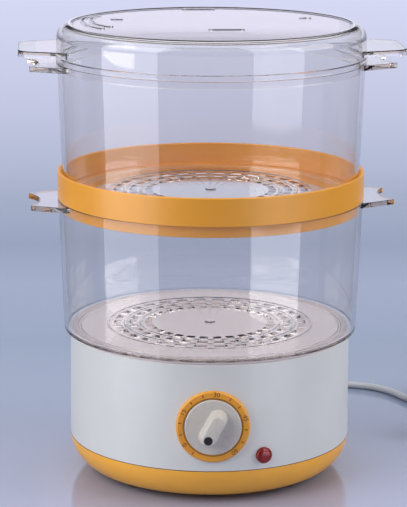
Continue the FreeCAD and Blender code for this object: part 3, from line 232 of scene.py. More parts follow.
def extrude_outline(name, points, low, high, bevel=0.0):
    """An upright prism on a flat outline of (x, y) points, its long edges bevelled."""
    bm = bmesh.new()
    base = [bm.verts.new((x * MM, y * MM, low * MM)) for x, y in points]
    face = bm.faces.new(base)
    lifted = bmesh.ops.extrude_face_region(bm, geom=[face])
    tops = [v for v in lifted["geom"] if isinstance(v, bmesh.types.BMVert)]
    bmesh.ops.translate(bm, verts=tops, vec=(0, 0, (high - low) * MM))
    if bevel > 0:
        edges = [e for e in bm.edges if abs(e.verts[0].co.z - e.verts[1].co.z) < 1e-6]
        bmesh.ops.bevel(bm, geom=edges, offset=bevel * MM, segments=3, profile=0.5,
                        affect="EDGES")
    return new_object(name, finish_mesh(bm, name))


def boolean(piece, others, operation):
    """Union or difference with a list of other meshes, which are used up."""
    merged = join_meshes(others)
    modifier = piece.modifiers.new(operation, "BOOLEAN")
    modifier.operation = operation
    modifier.solver = "EXACT"
    modifier.object = merged
    apply_modifiers(piece)
    drop(merged)
    smooth(piece.data)
    return piece


def apply_modifiers(piece):
    """Give a piece the mesh that its modifiers make, and clear them."""
    evaluated = piece.evaluated_get(bpy.context.evaluated_depsgraph_get())
    mesh = bpy.data.meshes.new_from_object(evaluated)
    piece.modifiers.clear()
    old = piece.data
    piece.data = mesh
    mesh.name = old.name
    bpy.data.meshes.remove(old)


def join_meshes(pieces):
    """One object from several, which are used up."""
    bm = bmesh.new()
    for piece in pieces:
        mesh = piece.data.copy()
        mesh.transform(piece.matrix_basis)
        bm.from_mesh(mesh)
        bpy.data.meshes.remove(mesh)
    joined = bpy.data.meshes.new("joined")
    bm.to_mesh(joined)
    bm.free()
    for piece in pieces:
        drop(piece)
    return new_object("joined", joined)


def drop(piece):
    """Delete a helper object with its mesh."""
    mesh = piece.data
    bpy.data.objects.remove(piece)
    bpy.data.meshes.remove(mesh)


def even_normals(piece):
    """Keep wide faces flat beside narrow roundings, so that clear walls don't act as lenses."""
    modifier = piece.modifiers.new("normals", "WEIGHTED_NORMAL")
    modifier.mode = "FACE_AREA"
    modifier.weight = 100
    modifier.keep_sharp = True
    apply_modifiers(piece)
    return piece


def place(piece, turn=0.0, lift=0.0):
    """Turn a piece about Z in degrees and lift it in millimetres, in its mesh."""
    piece.data.transform(Matrix.Translation((0, 0, lift * MM))
                         @ Matrix.Rotation(math.radians(turn), 4, "Z"))
    return piece


def to_front(piece, roll=0.0):
    """Roll a piece that faces +Z, and stand it at the dial so that it faces -Y."""
    piece.data.transform(Matrix.Translation((0, 0, dial_height * MM))
                         @ Matrix.Rotation(math.radians(90), 4, "X")
                         @ Matrix.Rotation(math.radians(roll), 4, "Z"))
    return piece


def arc_points(centre, radius, start, end, steps):
    """Points of an arc about a centre, from a start to an end in degrees."""
    points = []
    for k in range(steps + 1):
        turn = math.radians(start + (end - start) * k / steps)
        points.append((centre[0] + radius * math.cos(turn), centre[1] + radius * math.sin(turn)))
    return points


# ---------------------------------------------------------------- materials


def srgb(red, green, blue):
    """A colour as a picture gives it, 0 to 255, as the numbers that a shader wants."""
    result = []
    for value in (red, green, blue):
        share = value / 255
        result.append(share / 12.92 if share <= 0.04045 else ((share + 0.055) / 1.055) ** 2.4)
    return (*result, 1.0)


class Shader:
    """A material under construction: its nodes, links and main shader."""

    def __init__(self, name, **inputs):
        self.material = bpy.data.materials.new(name)
        self.material.use_nodes = True
        self.tree = self.material.node_tree
        self.main = self.tree.nodes["Principled BSDF"]
        for key, value in inputs.items():
            self.main.inputs[key.replace("_", " ")].default_value = value

    def node(self, kind, **inputs):
        made = self.tree.nodes.new(kind)
        for key, value in inputs.items():
            made.inputs[key.replace("_", " ")].default_value = value
        return made

    def link(self, source, target):
        self.tree.links.new(source, target)

    def noise(self, scale, detail=3.0, stretch=(1, 1, 1)):
        """Noise over the object's own coordinates."""
        where = self.tree.nodes.new("ShaderNodeTexCoord")
        mapping = self.tree.nodes.new("ShaderNodeMapping")
        mapping.inputs["Scale"].default_value = stretch
        noise = self.node("ShaderNodeTexNoise", Scale=scale, Detail=detail)
        self.link(where.outputs["Object"], mapping.inputs["Vector"])
        self.link(mapping.outputs["Vector"], noise.inputs["Vector"])
        return noise.outputs["Fac"]

    def ramp(self, factor, stops):
        """A colour that runs through (position, colour) stops."""
        ramp = self.tree.nodes.new("ShaderNodeValToRGB")
        elements = ramp.color_ramp.elements
        while len(elements) > len(stops):
            elements.remove(elements[-1])
        while len(elements) < len(stops):
            elements.new(1.0)
        for element, (position, color) in zip(elements, stops):
            element.position = position
            element.color = color
        self.link(factor, ramp.inputs["Fac"])
        return ramp.outputs["Color"]

    def vary_color(self, factor, dark, light):
        """Base colour that wanders between two tones."""
        self.link(self.ramp(factor, [(0.35, dark), (0.65, light)]), self.main.inputs["Base Color"])

    def vary_roughness(self, factor, low, high):
        """Roughness that wanders between two values."""
        spread = self.node("ShaderNodeMapRange")
        spread.inputs["To Min"].default_value = low
        spread.inputs["To Max"].default_value = high
        self.link(factor, spread.inputs["Value"])
        self.link(spread.outputs["Result"], self.main.inputs["Roughness"])

    def location(self):
        """The place in the scene, split into X, Y and Z."""
        where = self.tree.nodes.new("ShaderNodeNewGeometry")
        split = self.tree.nodes.new("ShaderNodeSeparateXYZ")
        self.link(where.outputs["Position"], split.inputs["Vector"])
        return split

    def path_share(self, *names):
        """1 for a ray of any of the named kinds, else 0."""
        path = self.tree.nodes.new("ShaderNodeLightPath")
        share = path.outputs[names[0]]
        for name in names[1:]:
            either = self.tree.nodes.new("ShaderNodeMath")
            either.operation = "MAXIMUM"
            self.link(share, either.inputs[0])
            self.link(path.outputs[name], either.inputs[1])
            share = either.outputs["Value"]
        return share

    def spread(self, value, low, high, kind="LINEAR"):
        """A value's place between two limits, as a share."""
        ranged = self.node("ShaderNodeMapRange")
        ranged.interpolation_type = kind
        ranged.inputs["From Min"].default_value = low
        ranged.inputs["From Max"].default_value = high
        self.link(value, ranged.inputs["Value"])
        return ranged.outputs["Result"]

    def bump(self, factor, distance, strength=1.0):
        """Fine relief, as deep as the distance in metres."""
        bump = self.node("ShaderNodeBump", Strength=strength, Distance=distance)
        self.link(factor, bump.inputs["Height"])
        self.link(bump.outputs["Normal"], self.main.inputs["Normal"])


def shade(color, factor):
    """A colour made darker or lighter."""
    return (color[0] * factor, color[1] * factor, color[2] * factor, 1.0)


def plastic(name, color, roughness=0.25, spread=0.06, grain=900.0, depth=0.00001,
            variation=0.03, coat=0.0, subsurface=0.0):
    """Moulded plastic: slight mottling of colour and gloss, and a fine skin texture."""
    shader = Shader(name, IOR=1.5)
    mottle = shader.noise(40.0)
    shader.vary_color(mottle, shade(color, 1 - variation), shade(color, 1 + variation))
    shader.vary_roughness(shader.noise(120.0), roughness - spread, roughness + spread)
    shader.bump(shader.noise(grain, 2.0), depth)
    shader.main.inputs["Coat Weight"].default_value = coat
    shader.main.inputs["Coat Roughness"].default_value = 0.06
    if subsurface > 0:
        shader.main.inputs["Subsurface Weight"].default_value = subsurface
        shader.main.inputs["Subsurface Radius"].default_value = (1.0, 0.6, 0.3)
        shader.main.inputs["Subsurface Scale"].default_value = 0.002
    return shader.material


def metal(name, color, roughness, depth=0.000004):
    """Metal with a fine or a cast skin."""
    shader = Shader(name, Metallic=1.0)
    grain = shader.noise(700.0)
    shader.vary_color(grain, shade(color, 0.9), shade(color, 1.05))
    shader.vary_roughness(grain, roughness - 0.08, roughness + 0.08)
    shader.bump(shader.noise(1500.0, 2.0), depth)
    return shader.material


def clear_plastic(name, color, absorb, density, through):
    """Clear moulded plastic: faint flow waves, a smoky tint where it is thick, and the
    share of a lamp's light that passes one of its faces."""
    shader = Shader(name, Base_Color=color, IOR=1.49, Transmission_Weight=1.0)
    shader.vary_roughness(shader.noise(25.0), 0.0075, 0.0225)
    shader.bump(shader.noise(22.0, 1.0, (1, 1, 0.35)), 0.00004, 0.5)
    volume = shader.node("ShaderNodeVolumeAbsorption", Color=absorb, Density=density)
    output = shader.tree.nodes["Material Output"]
    shader.link(volume.outputs["Volume"], output.inputs["Volume"])
    passing = shader.node("ShaderNodeBsdfTransparent", Color=through)
    mix = shader.tree.nodes.new("ShaderNodeMixShader")
    shader.link(shader.path_share("Is Shadow Ray", "Is Diffuse Ray"), mix.inputs["Fac"])
    shader.link(shader.main.outputs["BSDF"], mix.inputs[1])
    shader.link(passing.outputs["BSDF"], mix.inputs[2])
    shader.link(mix.outputs["Shader"], output.inputs["Surface"])
    return shader.material


def dress(name, material):
    """Give a carried-over CAD node its material, and shade it smooth."""
    node = nodes[name]
    if not node.material_slots:
        node.data.materials.append(material)
    for material_slot in node.material_slots:
        material_slot.material = material
    smooth(node.data)


def wear(piece, material, body, slot, *replaced):
    """Give a new piece its material and body, and hide the CAD nodes that it replaces. The slot
    argument is not used.
    """
    piece.data.materials.clear()
    piece.data.materials.append(material)
    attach(piece, body)
    if replaced:
        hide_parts(*replaced)
    return piece


# ---------------------------------------------------------------- stage


def sweep_profile():
    """(y, z) of the studio sweep in metres: a floor that bends up into a wall."""
    bend, radius, top, steps = 0.75, 0.5, 2.4, 24
    points = [(-2.2, 0.0), (-0.6, 0.0), (0.0, 0.0), (bend * 0.6, 0.0)]
    for k in range(steps + 1):
        turn = math.radians(90.0 * k / steps)
        points.append((bend + radius * math.sin(turn), radius * (1 - math.cos(turn))))
    return points + [(bend + radius, top)]


def sweep_painted_light_material():
    """Pale blue sweep: glossy where it is a floor, and glowing where it is a wall, for camera, gloss
    and transmission rays.
    Its colour runs from front to back and on up the wall, with painted light and shade: a darker
    band behind the object and lighter towards the top."""
    shader = Shader("sweep", Roughness=0.09, Specular_IOR_Level=0.75)
    tree = shader.tree
    split = shader.location()
    along = tree.nodes.new("ShaderNodeMath")
    along.operation = "ADD"
    shader.link(split.outputs["Y"], along.inputs[0])
    shader.link(split.outputs["Z"], along.inputs[1])
    # Painted light and shade: the ramp darkens a band behind the object and lightens the wall
    # towards its top.
    stops = [(0.05, srgb(163, 169, 197)), (0.16, srgb(143, 157, 183)), (0.25, srgb(132, 150, 174)),
             (0.35, srgb(155, 169, 194)), (0.44, srgb(152, 166, 190)), (0.51, srgb(168, 178, 203)),
             (0.62, srgb(196, 200, 227)), (0.72, srgb(213, 217, 244)), (1.0, srgb(242, 241, 249))]
    color = shader.ramp(shader.spread(along.outputs["Value"], -0.2, 2.0), stops)
    shader.link(color, shader.main.inputs["Base Color"])
    glow = shader.node("ShaderNodeEmission", Strength=1.0)
    shader.link(color, glow.inputs["Color"])
    upright = shader.spread(split.outputs["Z"], 0.0, 0.05, "SMOOTHSTEP")
    share = tree.nodes.new("ShaderNodeMath")
    share.operation = "MULTIPLY"
    shader.link(upright, share.inputs[0])
    shader.link(shader.path_share("Is Camera Ray", "Is Glossy Ray", "Is Transmission Ray"),
                share.inputs[1])
    mix = tree.nodes.new("ShaderNodeMixShader")
    shader.link(share.outputs["Value"], mix.inputs["Fac"])
    shader.link(shader.main.outputs["BSDF"], mix.inputs[1])
    shader.link(glow.outputs["Emission"], mix.inputs[2])
    shader.link(mix.outputs["Shader"], tree.nodes["Material Output"].inputs["Surface"])
    return shader.material


def add_sweep():
    """The studio's floor and wall, which aren't part of the object."""
    bm = bmesh.new()
    rows = []
    for y, z in sweep_profile():
        rows.append([bm.verts.new((x, y, z)) for x in (-3.0, 3.0)])
    for near_row, far_row in zip(rows, rows[1:]):
        bm.faces.new((near_row[0], near_row[1], far_row[1], far_row[0]))
    sweep = new_object("sweep", finish_mesh(bm, "sweep"))
    sweep.data.materials.append(sweep_painted_light_material())


def card_material(name, levels, color):
    """A glow whose strength follows the levels up the card."""
    low, high = levels[0][0], levels[-1][0]
    peak = max(strength for height, strength in levels)
    shader = Shader(name)
    stops = [((height - low) / (high - low), shade(color, strength / peak))
             for height, strength in levels]
    glow = shader.node("ShaderNodeEmission", Strength=peak)
    level = shader.spread(shader.location().outputs["Z"], low, high)
    shader.link(shader.ramp(level, stops), glow.inputs["Color"])
    shader.link(glow.outputs["Emission"], shader.tree.nodes["Material Output"].inputs["Surface"])
    return shader.material


def add_card(name, azimuth, width, levels, distance=0.5, color=card_white):
    """A tall card that shows only in gloss, as a softbox or a dark flag does. Its levels
    are (height, strength) pairs from its bottom to its top."""
    low, high = levels[0][0], levels[-1][0]
    turn = math.radians(azimuth)
    middle = Vector((distance * math.sin(turn), -distance * math.cos(turn), 0))
    side = Vector((math.cos(turn), math.sin(turn), 0)) * width / 2
    bm = bmesh.new()
    corners = [bm.verts.new(middle + sign * side + Vector((0, 0, z)))
               for sign, z in ((-1, low), (1, low), (1, high), (-1, high))]
    bm.faces.new(corners)
    card = new_object(name, finish_mesh(bm, name))
    card.data.materials.append(card_material(name, levels, color))
    card.visible_camera = False
    card.visible_diffuse = False
    card.visible_transmission = False
    card.visible_volume_scatter = False
    card.visible_shadow = False


# ---------------------------------------------------------------- cord


def coil_points():
    """Turns of the coil: outside low, inside low, inside high, outside high. A turn's
    last fifth leads over to the next lane, given as its radius and its layer."""
    half = cord_diameter / 2
    lanes = [(coil_middle + half, 0.5), (coil_middle - half, 0.5),
             (coil_middle - half, 1.5), (coil_middle + half, 1.5)]
    steps, lead, clearance = 54, 0.2, 0.05
    points = []
    for k in range(steps + 1):
        angle = coil_start + (coil_end - coil_start) * k / steps
        progress = (angle - coil_start) / 360.0
        lane = min(int(progress), len(lanes) - 1)
        share = min(max((progress - lane - (1 - lead)) / lead, 0.0), 1.0)
        following = lanes[min(lane + 1, len(lanes) - 1)]
        r = lanes[lane][0] + (following[0] - lanes[lane][0]) * share
        level = lanes[lane][1] + (following[1] - lanes[lane][1]) * share
        turn = math.radians(angle)
        points.append((coil_centre[0] + r * math.cos(turn), coil_centre[1] + r * math.sin(turn),
                       cord_diameter * level + clearance))
    return points


def add_cord(material):
    """The power cord on one smooth line: down, along the table, coiled, to its plug."""
    route = cord_route + coil_points() + tail_route
    data = bpy.data.curves.new("power_cable", "CURVE")
    data.dimensions = "3D"
    data.bevel_depth = cord_diameter / 2 * MM
    data.bevel_resolution = 8
    data.resolution_u = 8
    data.use_fill_caps = True
    spline = data.splines.new("NURBS")
    spline.points.add(len(route) - 1)
    for point, where in zip(spline.points, route):
        point.co = (*(Vector(where) * MM), 1.0)
    spline.order_u = 3
    spline.use_endpoint_u = True
    spline.use_smooth = True
    cable = bpy.data.objects.new("power_cable", data)
    scene.collection.objects.link(cable)
    wear(cable, material, "base", "cord_grey", "power_cord", "cord_coil", "cord_tail")


# ---------------------------------------------------------------- clear bowls and lid


def slot_cutters():
    """Three rows of short curved slots through the steaming floor."""
    count, half, share = 30, 2.6, 0.64
    pitch = 360 / count
    cutters = []
    for radius in (45.6, 57.3, 68.9):
        for k in range(count):
            start = pitch * (k + (1 - share) / 2)
            end = start + pitch * share
            outline = (arc_points((0, 0), radius - half, start, end, 4)
                       + arc_points((0, 0), radius + half, end, start, 4))
            cutters.append(extrude_outline("slot", outline, -3.0, 6.0))
    return cutters


def bowl_tab(turn):
    """Flat handle just under the rim: it narrows outwards and has a hollowed end."""
    root, root_half, tip, half, corner = 105.0, 37.5, 133.6, 23.0, 1.8
    hollow_radius, hollow_depth, hollow_half = 35.6, 8.0, 40.0
    top, thickness, edge = bowl_height - 0.6, 3.8, 0.4
    hollow = arc_points((tip + hollow_radius - hollow_depth, 0), hollow_radius,
                        180 + hollow_half, 180 - hollow_half, 20)
    outline = [(root, -root_half), (tip, -half, corner)]
    outline += hollow[1:-1]
    outline += [(tip, half, corner), (root, root_half)]
    tab = extrude_outline("tab", rounded(outline), top - thickness, top, edge)
    inside = bowl_rim_radius - bowl_wall / 2
    core = lathe("core", [(0, top - 20), (inside, top - 20), (inside, top + 20), (0, top + 20)])
    boolean(tab, [core], "DIFFERENCE")
    return place(tab, turn)


def make_bowl(name):
    """Clear bowl: tapered wall, perforated floor with raised rings, two handles."""
    rim, floor_radius, foot_inner, foot_outer, foot_low = bowl_height - 0.1, 106.28, 95.8, 97.8, -1.7
    ridge_root, ridge_crest, ridge_top = 1.1, 0.5, bowl_floor + 0.4
    gate, gate_top = 3.5, bowl_floor + 0.9
    profile = [(0, 0), (foot_inner, 0, 0.3), (foot_inner, foot_low, 0.4),
               (foot_outer, foot_low, 0.4), (foot_outer, 0, 0.3), (bowl_foot_radius, 0, 0.9),
               (bowl_rim_radius, rim, 0.6), (bowl_rim_radius - bowl_wall, rim, 0.6),
               (floor_radius, bowl_floor, 0.8)]
    for radius in (75.6, 63.0, 51.4):
        profile += [(radius + ridge_root, bowl_floor), (radius + ridge_crest, ridge_top, 0.25),
                    (radius - ridge_crest, ridge_top, 0.25), (radius - ridge_root, bowl_floor)]
    profile += [(gate + 0.4, bowl_floor, 0.2), (gate, gate_top, 0.3), (0, gate_top)]
    bowl = lathe(name, rounded(profile))
    boolean(bowl, [bowl_tab(0), bowl_tab(180)], "UNION")
    boolean(bowl, slot_cutters(), "DIFFERENCE")
    return bowl


def lid_handle(turn):
    """Handle that narrows outwards, with its edge turned down all round."""
    root, root_half, reach, half, corner = 95.0, 44.0, 140.0, 28.5, 13.0
    low, ceiling, high, edge, skirt = 5.55, 7.85, 10.35, 0.8, 2.2
    slope = (root_half - half) / (reach - root)
    slant = math.sqrt(1 + slope * slope)

    def plate(inset):
        """The handle's outline, drawn in by an even margin."""
        side = inset * slant
        tip_half = half + slope * inset - side
        return rounded([(root, side - root_half), (reach - inset, -tip_half, corner - inset),
                        (reach - inset, tip_half, corner - inset), (root, root_half - side)], 8)

    handle = extrude_outline("handle", plate(0.0), low, high, edge)
    pocket = extrude_outline("pocket", plate(skirt), 0.0, ceiling)
    wall, core = (lathe("core", [(0, -5.0), (radius, -5.0), (radius, 15.0), (0, 15.0)])
                  for radius in (lid_radius, lid_radius - lid_wall / 2))
    boolean(pocket, [wall], "DIFFERENCE")
    boolean(handle, [pocket], "DIFFERENCE")
    boolean(handle, [core], "DIFFERENCE")
    return place(handle, turn)


def lid_vents(low, high, lipped=False):
    """Prisms through the lid's top: two crescents, two rounds and two oblongs, or with
    the width of the raised lips round them."""
    crescent_half, round_radius, oblong_half = (1.9, 4.6, 3.4) if lipped else (1.1, 2.0, 1.9)
    more, oblong_end = (0.6 if lipped else 0.0), 1.9
    vents = []
    for x, y, radius, start, end in ((-16.7, 16.2, 76.4, 158.0, 214.0),
                                     (-24.6, 21.9, 62.2, 153.0, 218.0)):
        outline = (arc_points((x, y), radius - crescent_half, start - more, end + more, 24)
                   + arc_points((x, y), radius + crescent_half, end + more, start - more, 24))
        vents.append(extrude_outline("vent", outline, low, high))
    for x, y in ((-67.7, 29.3), (72.2, 34.9)):
        outline = arc_points((x, y), round_radius, 0, 345, 23)
        vents.append(extrude_outline("vent", outline, low, high))
    for x, y, length in ((8.1, -34.7, 23.0), (-3.2, 92.9, 22.0)):
        straight = length / 2 - oblong_end
        outline = (arc_points((x + straight, y), oblong_half, -90, 90, 10)
                   + arc_points((x - straight, y), oblong_half, 90, 270, 10))
        vents.append(extrude_outline("vent", outline, low, high))
    return vents


def make_lid():
    """Clear lid: spigot, bead, round shoulder, slightly sunk top, lipped vents and handles."""
    spigot_inner, spigot_outer, spigot_low = 107.1, 109.3, -6.0
    bead, bead_top, step_outer, step_inner, sunk = 112.9, 3.7, 103.6, 100.6, lid_height - 1.0
    inner, ceiling = lid_radius - lid_wall, lid_height - lid_wall
    profile = [(spigot_inner, spigot_low, 0.4), (spigot_outer, spigot_low, 0.6),
               (spigot_outer, 0, 0.2), (bead, 0, 0.25), (bead, bead_top, 0.25),
               (lid_radius, bead_top + 0.4), (lid_radius, lid_height, 10.0),
               (step_outer, lid_height, 2.0), (step_inner, sunk, 2.0), (0, sunk),
               (0, sunk - lid_wall), (step_inner, sunk - lid_wall, 2.0),
               (step_outer - 0.4, ceiling, 0.5), (inner, ceiling, 7.0), (inner, bead_top, 0.4),
               (spigot_inner, bead_top, 0.4)]
    lid = lathe("clear_lid", rounded(profile, 10))
    boolean(lid, [lid_handle(0), lid_handle(180)], "UNION")
    boolean(lid, lid_vents(sunk - 1.05, sunk + 0.8, True), "UNION")
    boolean(lid, lid_vents(sunk - 7.85, sunk + 4.15), "DIFFERENCE")
    return place(lid, lid_turn, lid_seat)


def make_tier_ring():
    """Orange collar: a skirt in the lower bowl, a ledge, and a band round the upper bowl."""
    skirt_inner, skirt_outer, skirt_low = 107.0, 109.2, ring_seat - 8.1
    ledge_inner, ledge_top, top = 99.9, ring_seat + ring_ledge, ring_seat + 20.3
    inner = ring_radius - ring_wall
    profile = [(skirt_inner, skirt_low, 0.5), (skirt_outer, skirt_low, 0.5),
               (skirt_outer, ring_seat, 0.1), (ring_radius, ring_seat, 0.5),
               (ring_radius, top, 1.0), (inner, top, 1.0), (inner, ledge_top, 0.3),
               (ledge_inner, ledge_top, 0.6), (ledge_inner, ring_seat, 0.5),
               (skirt_inner, ring_seat, 0.5)]
    return lathe("orange_ring", rounded(profile))


# ---------------------------------------------------------------- dial


def make_knob():
    """Round skirt, hollow behind, with a tapered bar grip across it."""
    hub, skirt_inner, skirt, disc_back = 6.0, 18.5, 20.2, knob_face - 3.0
    knob = lathe("front_knob", rounded([
        (0, knob_back), (hub, knob_back, 0.2), (hub, disc_back), (skirt_inner, disc_back),
        (skirt_inner, knob_back, 0.2), (skirt, knob_back, 0.2), (skirt, knob_face, 0.8),
        (0, knob_face)]))
    bm = bmesh.new()
    levels = []
    for half, straight, height in ((7.0, 7.5, knob_face - 0.5), (5.05, 6.75, grip_top - 0.8),
                                   (4.75, 6.7, grip_top - 0.25), (4.3, 6.65, grip_top)):
        outline = (arc_points((0, straight), half, 0, 180, 16)
                   + arc_points((0, -straight), half, 180, 360, 16))
        levels.append([bm.verts.new((x * MM, y * MM, height * MM)) for x, y in outline])
    for low, high in zip(levels, levels[1:]):
        for k in range(len(low)):
            n = (k + 1) % len(low)
            bm.faces.new((low[k], low[n], high[n], high[k]))
    bm.faces.new(levels[0])
    bm.faces.new(levels[-1])
    grip = new_object("grip", finish_mesh(bm, "grip"))
    boolean(knob, [grip], "UNION")
    boolean(knob, [dot_disc("hollow", 3.15, grip_top + 1.2)], "DIFFERENCE")
    return to_front(knob, pointer_angle)


def dot_disc(name, radius, top):
    """Disc at the place of the dot, low on the grip and let into it."""
    low = grip_top - 0.8
    disc = lathe(name, rounded([(0, low), (radius, low), (radius, top, 0.1), (0, top)]), 48)
    disc.data.transform(Matrix.Translation((0, dot_offset * MM, 0)))
    return disc


def make_numeral(text, low, high):
    """A plain number as a thin solid, at the top of the dial."""
    size, radius = 4.8, 23.7
    data = bpy.data.curves.new("numeral", "FONT")
    data.body = text
    data.size = size * MM
    data.align_x = "CENTER"
    data.align_y = "CENTER"
    data.extrude = (high - low) / 2 * MM
    letters = bpy.data.objects.new("numeral", data)
    scene.collection.objects.link(letters)
    evaluated = letters.evaluated_get(bpy.context.evaluated_depsgraph_get())
    numeral = new_object("mark", bpy.data.meshes.new_from_object(evaluated))
    bpy.data.objects.remove(letters)
    numeral.data.transform(Matrix.Translation((0, radius * MM, (low + high) / 2 * MM)))
    return numeral


def make_seam_shadow():
    """Painted shadow: a thin dark ring where the white housing meets the orange bottom, standing in
    for the shade in the gap between them.
    """
    low, high, inner = seam_height - 0.1, seam_height + 0.2, seam_radius - 0.54
    return lathe("seam_shadow", [(inner, low), (seam_radius, low), (seam_radius, high),
                               (inner, high)])


def make_dial_print_and_shadow():
    """Minute marks and plain numerals, print on the flat of the dial ring, and a painted shadow: a
    thin dark ring at its inner edge, in place of the shade in the gap round the knob.
    The angles run clockwise from straight up."""
    low, high = dial_face - 0.02, dial_face + 0.04
    half, inner, outer, gap_shadow_inner, gap_shadow_outer = 0.33, 22.5, 24.8, 21.2, 21.5
    numerals = {-122.6: "0", -62.4: "15", 5.9: "30", 73.5: "45", 139.6: "60"}
    marks = []
    for angle in (-143.3, -122.6, -103.5, -82.6, -62.4, -41.2, -17.8, 5.9, 30.7, 51.5, 73.5,
                  94.3, 117.7, 139.6):
        if angle in numerals:
            mark = make_numeral(numerals[angle], low, high)
        else:
            mark = extrude_outline("mark", [(-half, inner), (half, inner), (half, outer),
                                            (-half, outer)], low, high)
        mark.data.transform(Matrix.Rotation(math.radians(-angle), 4, "Z"))
        marks.append(mark)
    # Painted shadow: a dark ring round the knob's opening, where the gap between knob and ring is in
    # shade.
    marks.append(lathe("edge", [(gap_shadow_inner, low), (gap_shadow_outer, low), (gap_shadow_outer, high),
                                (gap_shadow_inner, high)], 96))
    print_and_shadow = join_meshes(marks)
    print_and_shadow.name = print_and_shadow.data.name = "dial_print_and_shadow"
    return to_front(print_and_shadow)


# ---------------------------------------------------------------- build: camera, cord, stage


add_camera()

cord_material = plastic("cord_skin", srgb(196, 200, 208), 0.38, grain=500.0)
add_cord(cord_material)

# Cards: azimuth from the front, width, (height, strength) levels, distance, all in metres.
add_sweep()
add_card("card_left", -58.6, 0.402, [(0.0, 3.2), (0.13, 3.0), (0.2, 4.2), (1.2, 4.2)])
add_card("card_right", 44.2, 0.333, [(0.0, 4.2), (0.08, 4.2), (0.09, 0.7), (0.17, 0.7),
                                     (0.181, 3.6), (1.2, 3.6)])
add_card("flag_left", -112.0, 0.5, [(0.0, 0.2), (1.0, 0.2)])
add_card("flag_right", 108.0, 0.5, [(0.0, 0.2), (1.0, 0.2)])
add_card("card_back", 180.0, 0.38, [(0.40, 1.1), (0.475, 1.05), (0.493, 0.42), (0.52, 0.12)],
         1.15, (0.88, 0.83, 1.0))
add_card("flag_back", 180.0, 2.2, [(0.52, 0.12), (1.3, 0.12)], 1.15)
add_light("key_left", (-1.30, -0.78, 1.05), (0, 0, 0.17), (1.5, 1.5), 26.0, (1.0, 0.985, 0.96))
add_light("fill_right", (1.45, -0.25, 0.75), (0, 0, 0.17), (1.0, 1.3), 15.5, (1.0, 0.98, 0.97))
add_light("top", (0.0, 0.1, 1.5), (0, 0, 0.1), (1.4, 1.2), 5.5, (0.98, 0.98, 1.0))
scene.cycles.max_bounces = ray_bounces
scene.cycles.transmission_bounces = ray_bounces
world = bpy.data.worlds.new("world")
world.use_nodes = True
world.node_tree.nodes["Background"].inputs["Color"].default_value = (0.86, 0.86, 0.92, 1.0)
world.node_tree.nodes["Background"].inputs["Strength"].default_value = 0.24
scene.world = world
scene.view_settings.view_transform = "Standard"

# ---------------------------------------------------------------- build: materials


clear = clear_plastic("clear_smoky", (1.0, 0.995, 0.99, 1.0), (0.50, 0.30, 0.14, 1.0), 13.0,
                      (0.975, 0.965, 0.95, 1.0))
orange = plastic("orange_gloss", srgb(232, 160, 46), 0.36, 0.05, 700.0, coat=0.1,
                 variation=0.02, subsurface=0.12)
base_orange = plastic("orange_base", srgb(254, 182, 58), 0.3, 0.05, 700.0, coat=0.15,
                      variation=0.02, subsurface=0.12)
white = plastic("housing_gloss", srgb(216, 218, 218), 0.32, 0.05, 700.0, coat=0.1,
                variation=0.012)
tray_white = plastic("tray_satin", srgb(202, 192, 196), 0.32, 0.06, 700.0)
tank_white = plastic("tank_satin", srgb(222, 222, 219), 0.4)
knob_white = plastic("knob_satin", srgb(205, 200, 192), 0.28, 0.05, 800.0, coat=0.2)
dot_black = plastic("dot_black", srgb(28, 28, 30), 0.4)
rubber = plastic("foot_rubber", srgb(70, 70, 52), 0.6, 0.08, 400.0, 0.00003)
steel = metal("zinc_steel", srgb(196, 198, 200), 0.35)
aluminium = metal("cast_aluminium", srgb(204, 204, 206), 0.45, depth=0.00002)
sheath = metal("element_sheath", srgb(150, 146, 142), 0.45)
brass = metal("brass", srgb(214, 180, 104), 0.3)
nickel = metal("nickel", srgb(212, 208, 198), 0.2)
bell_metal = metal("bell_plate", srgb(206, 208, 212), 0.15)
seal = plastic("silicone", srgb(178, 66, 48), 0.6)
natural = plastic("natural_nylon", srgb(214, 211, 200), 0.45)
dark_plastic = plastic("dark_plastic", srgb(58, 54, 52), 0.45)
live = plastic("live_brown", srgb(96, 54, 34), 0.4)
neutral = plastic("neutral_blue", srgb(44, 78, 160), 0.4)
earth = plastic("earth_green", srgb(120, 150, 44), 0.4)
red_lens = plastic("red_lens", srgb(130, 4, 2), 0.22, 0.03)
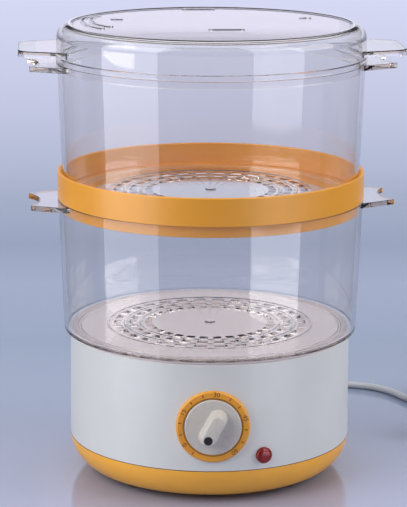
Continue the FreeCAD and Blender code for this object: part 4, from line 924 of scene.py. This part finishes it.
# Brown for the dial's print, and also for the painted shadow rings at the seam and round the knob.
print_and_shade_brown = plastic("print_and_shade_brown", srgb(112, 52, 20), 0.4)
lamp_glass = clear_plastic("lamp_glass", (0.98, 0.96, 0.94, 1.0), (0.9, 0.8, 0.7, 1.0), 5.0,
                           (0.95, 0.93, 0.9, 1.0))

# ---------------------------------------------------------------- build: pieces


for seat, node in ((bowl_seat, "lower_bowl"), (upper_bowl_seat, "upper_bowl")):
    bowl = even_normals(place(make_bowl("clear_" + node), bowl_turn, seat))
    wear(bowl, clear, node, "clear_plastic", node)
wear(even_normals(make_lid()), clear, "lid", "clear_plastic", "lid")
wear(even_normals(make_tier_ring()), orange, "tier_ring", "orange_plastic", "tier_ring")
wear(make_knob(), knob_white, "knob", "knob_white", "timer_knob")
wear(to_front(dot_disc("front_dot", 3.1, grip_top + 0.05), pointer_angle),
     dot_black, "knob", "dot_black", "pointer_dot")
# The dial's marks and numerals, with the painted shadow ring round the knob.
wear(make_dial_print_and_shadow(), print_and_shade_brown, "base", "dot_black")
# A thin dark ring of painted shadow along the seam.
wear(make_seam_shadow(), print_and_shade_brown, "base", "dot_black")

for material, names in (
    (white, ["base_housing"]),
    (base_orange, ["bottom_cover"]),
    (orange, ["dial_ring"]),
    (tray_white, ["drip_tray"]),
    (tank_white, ["water_tank", "turbo_ring"]),
    (rubber, ["rubber_feet"]),
    (steel, ["cover_screws", "heater_screws", "timer_screws", "clamp_screws", "thermostat",
             "thermal_fuse", "timer_plate", "timer_shaft"]),
    (aluminium, ["heating_plate"]),
    (sheath, ["heating_tube"]),
    (seal, ["heater_gasket"]),
    (brass, ["main_gear", "escape_pinion", "spring_barrel", "switch_leaves"]),
    (bell_metal, ["timer_bell"]),
    (natural, ["timer_case", "switch_cam", "terminal_block"]),
    (dark_plastic, ["switch_block", "cord_clamp"]),
    (live, ["live_leads"]),
    (neutral, ["neutral_leads"]),
    (earth, ["earth_lead"]),
    (cord_material, ["inner_cord", "cord_strain_relief", "plug_body"]),
    (nickel, ["plug_pins", "plug_earth_clips"]),
    (red_lens, ["indicator_lens"]),
    (lamp_glass, ["neon_lamp"]),
):
    for name in names:
        dress(name, material)
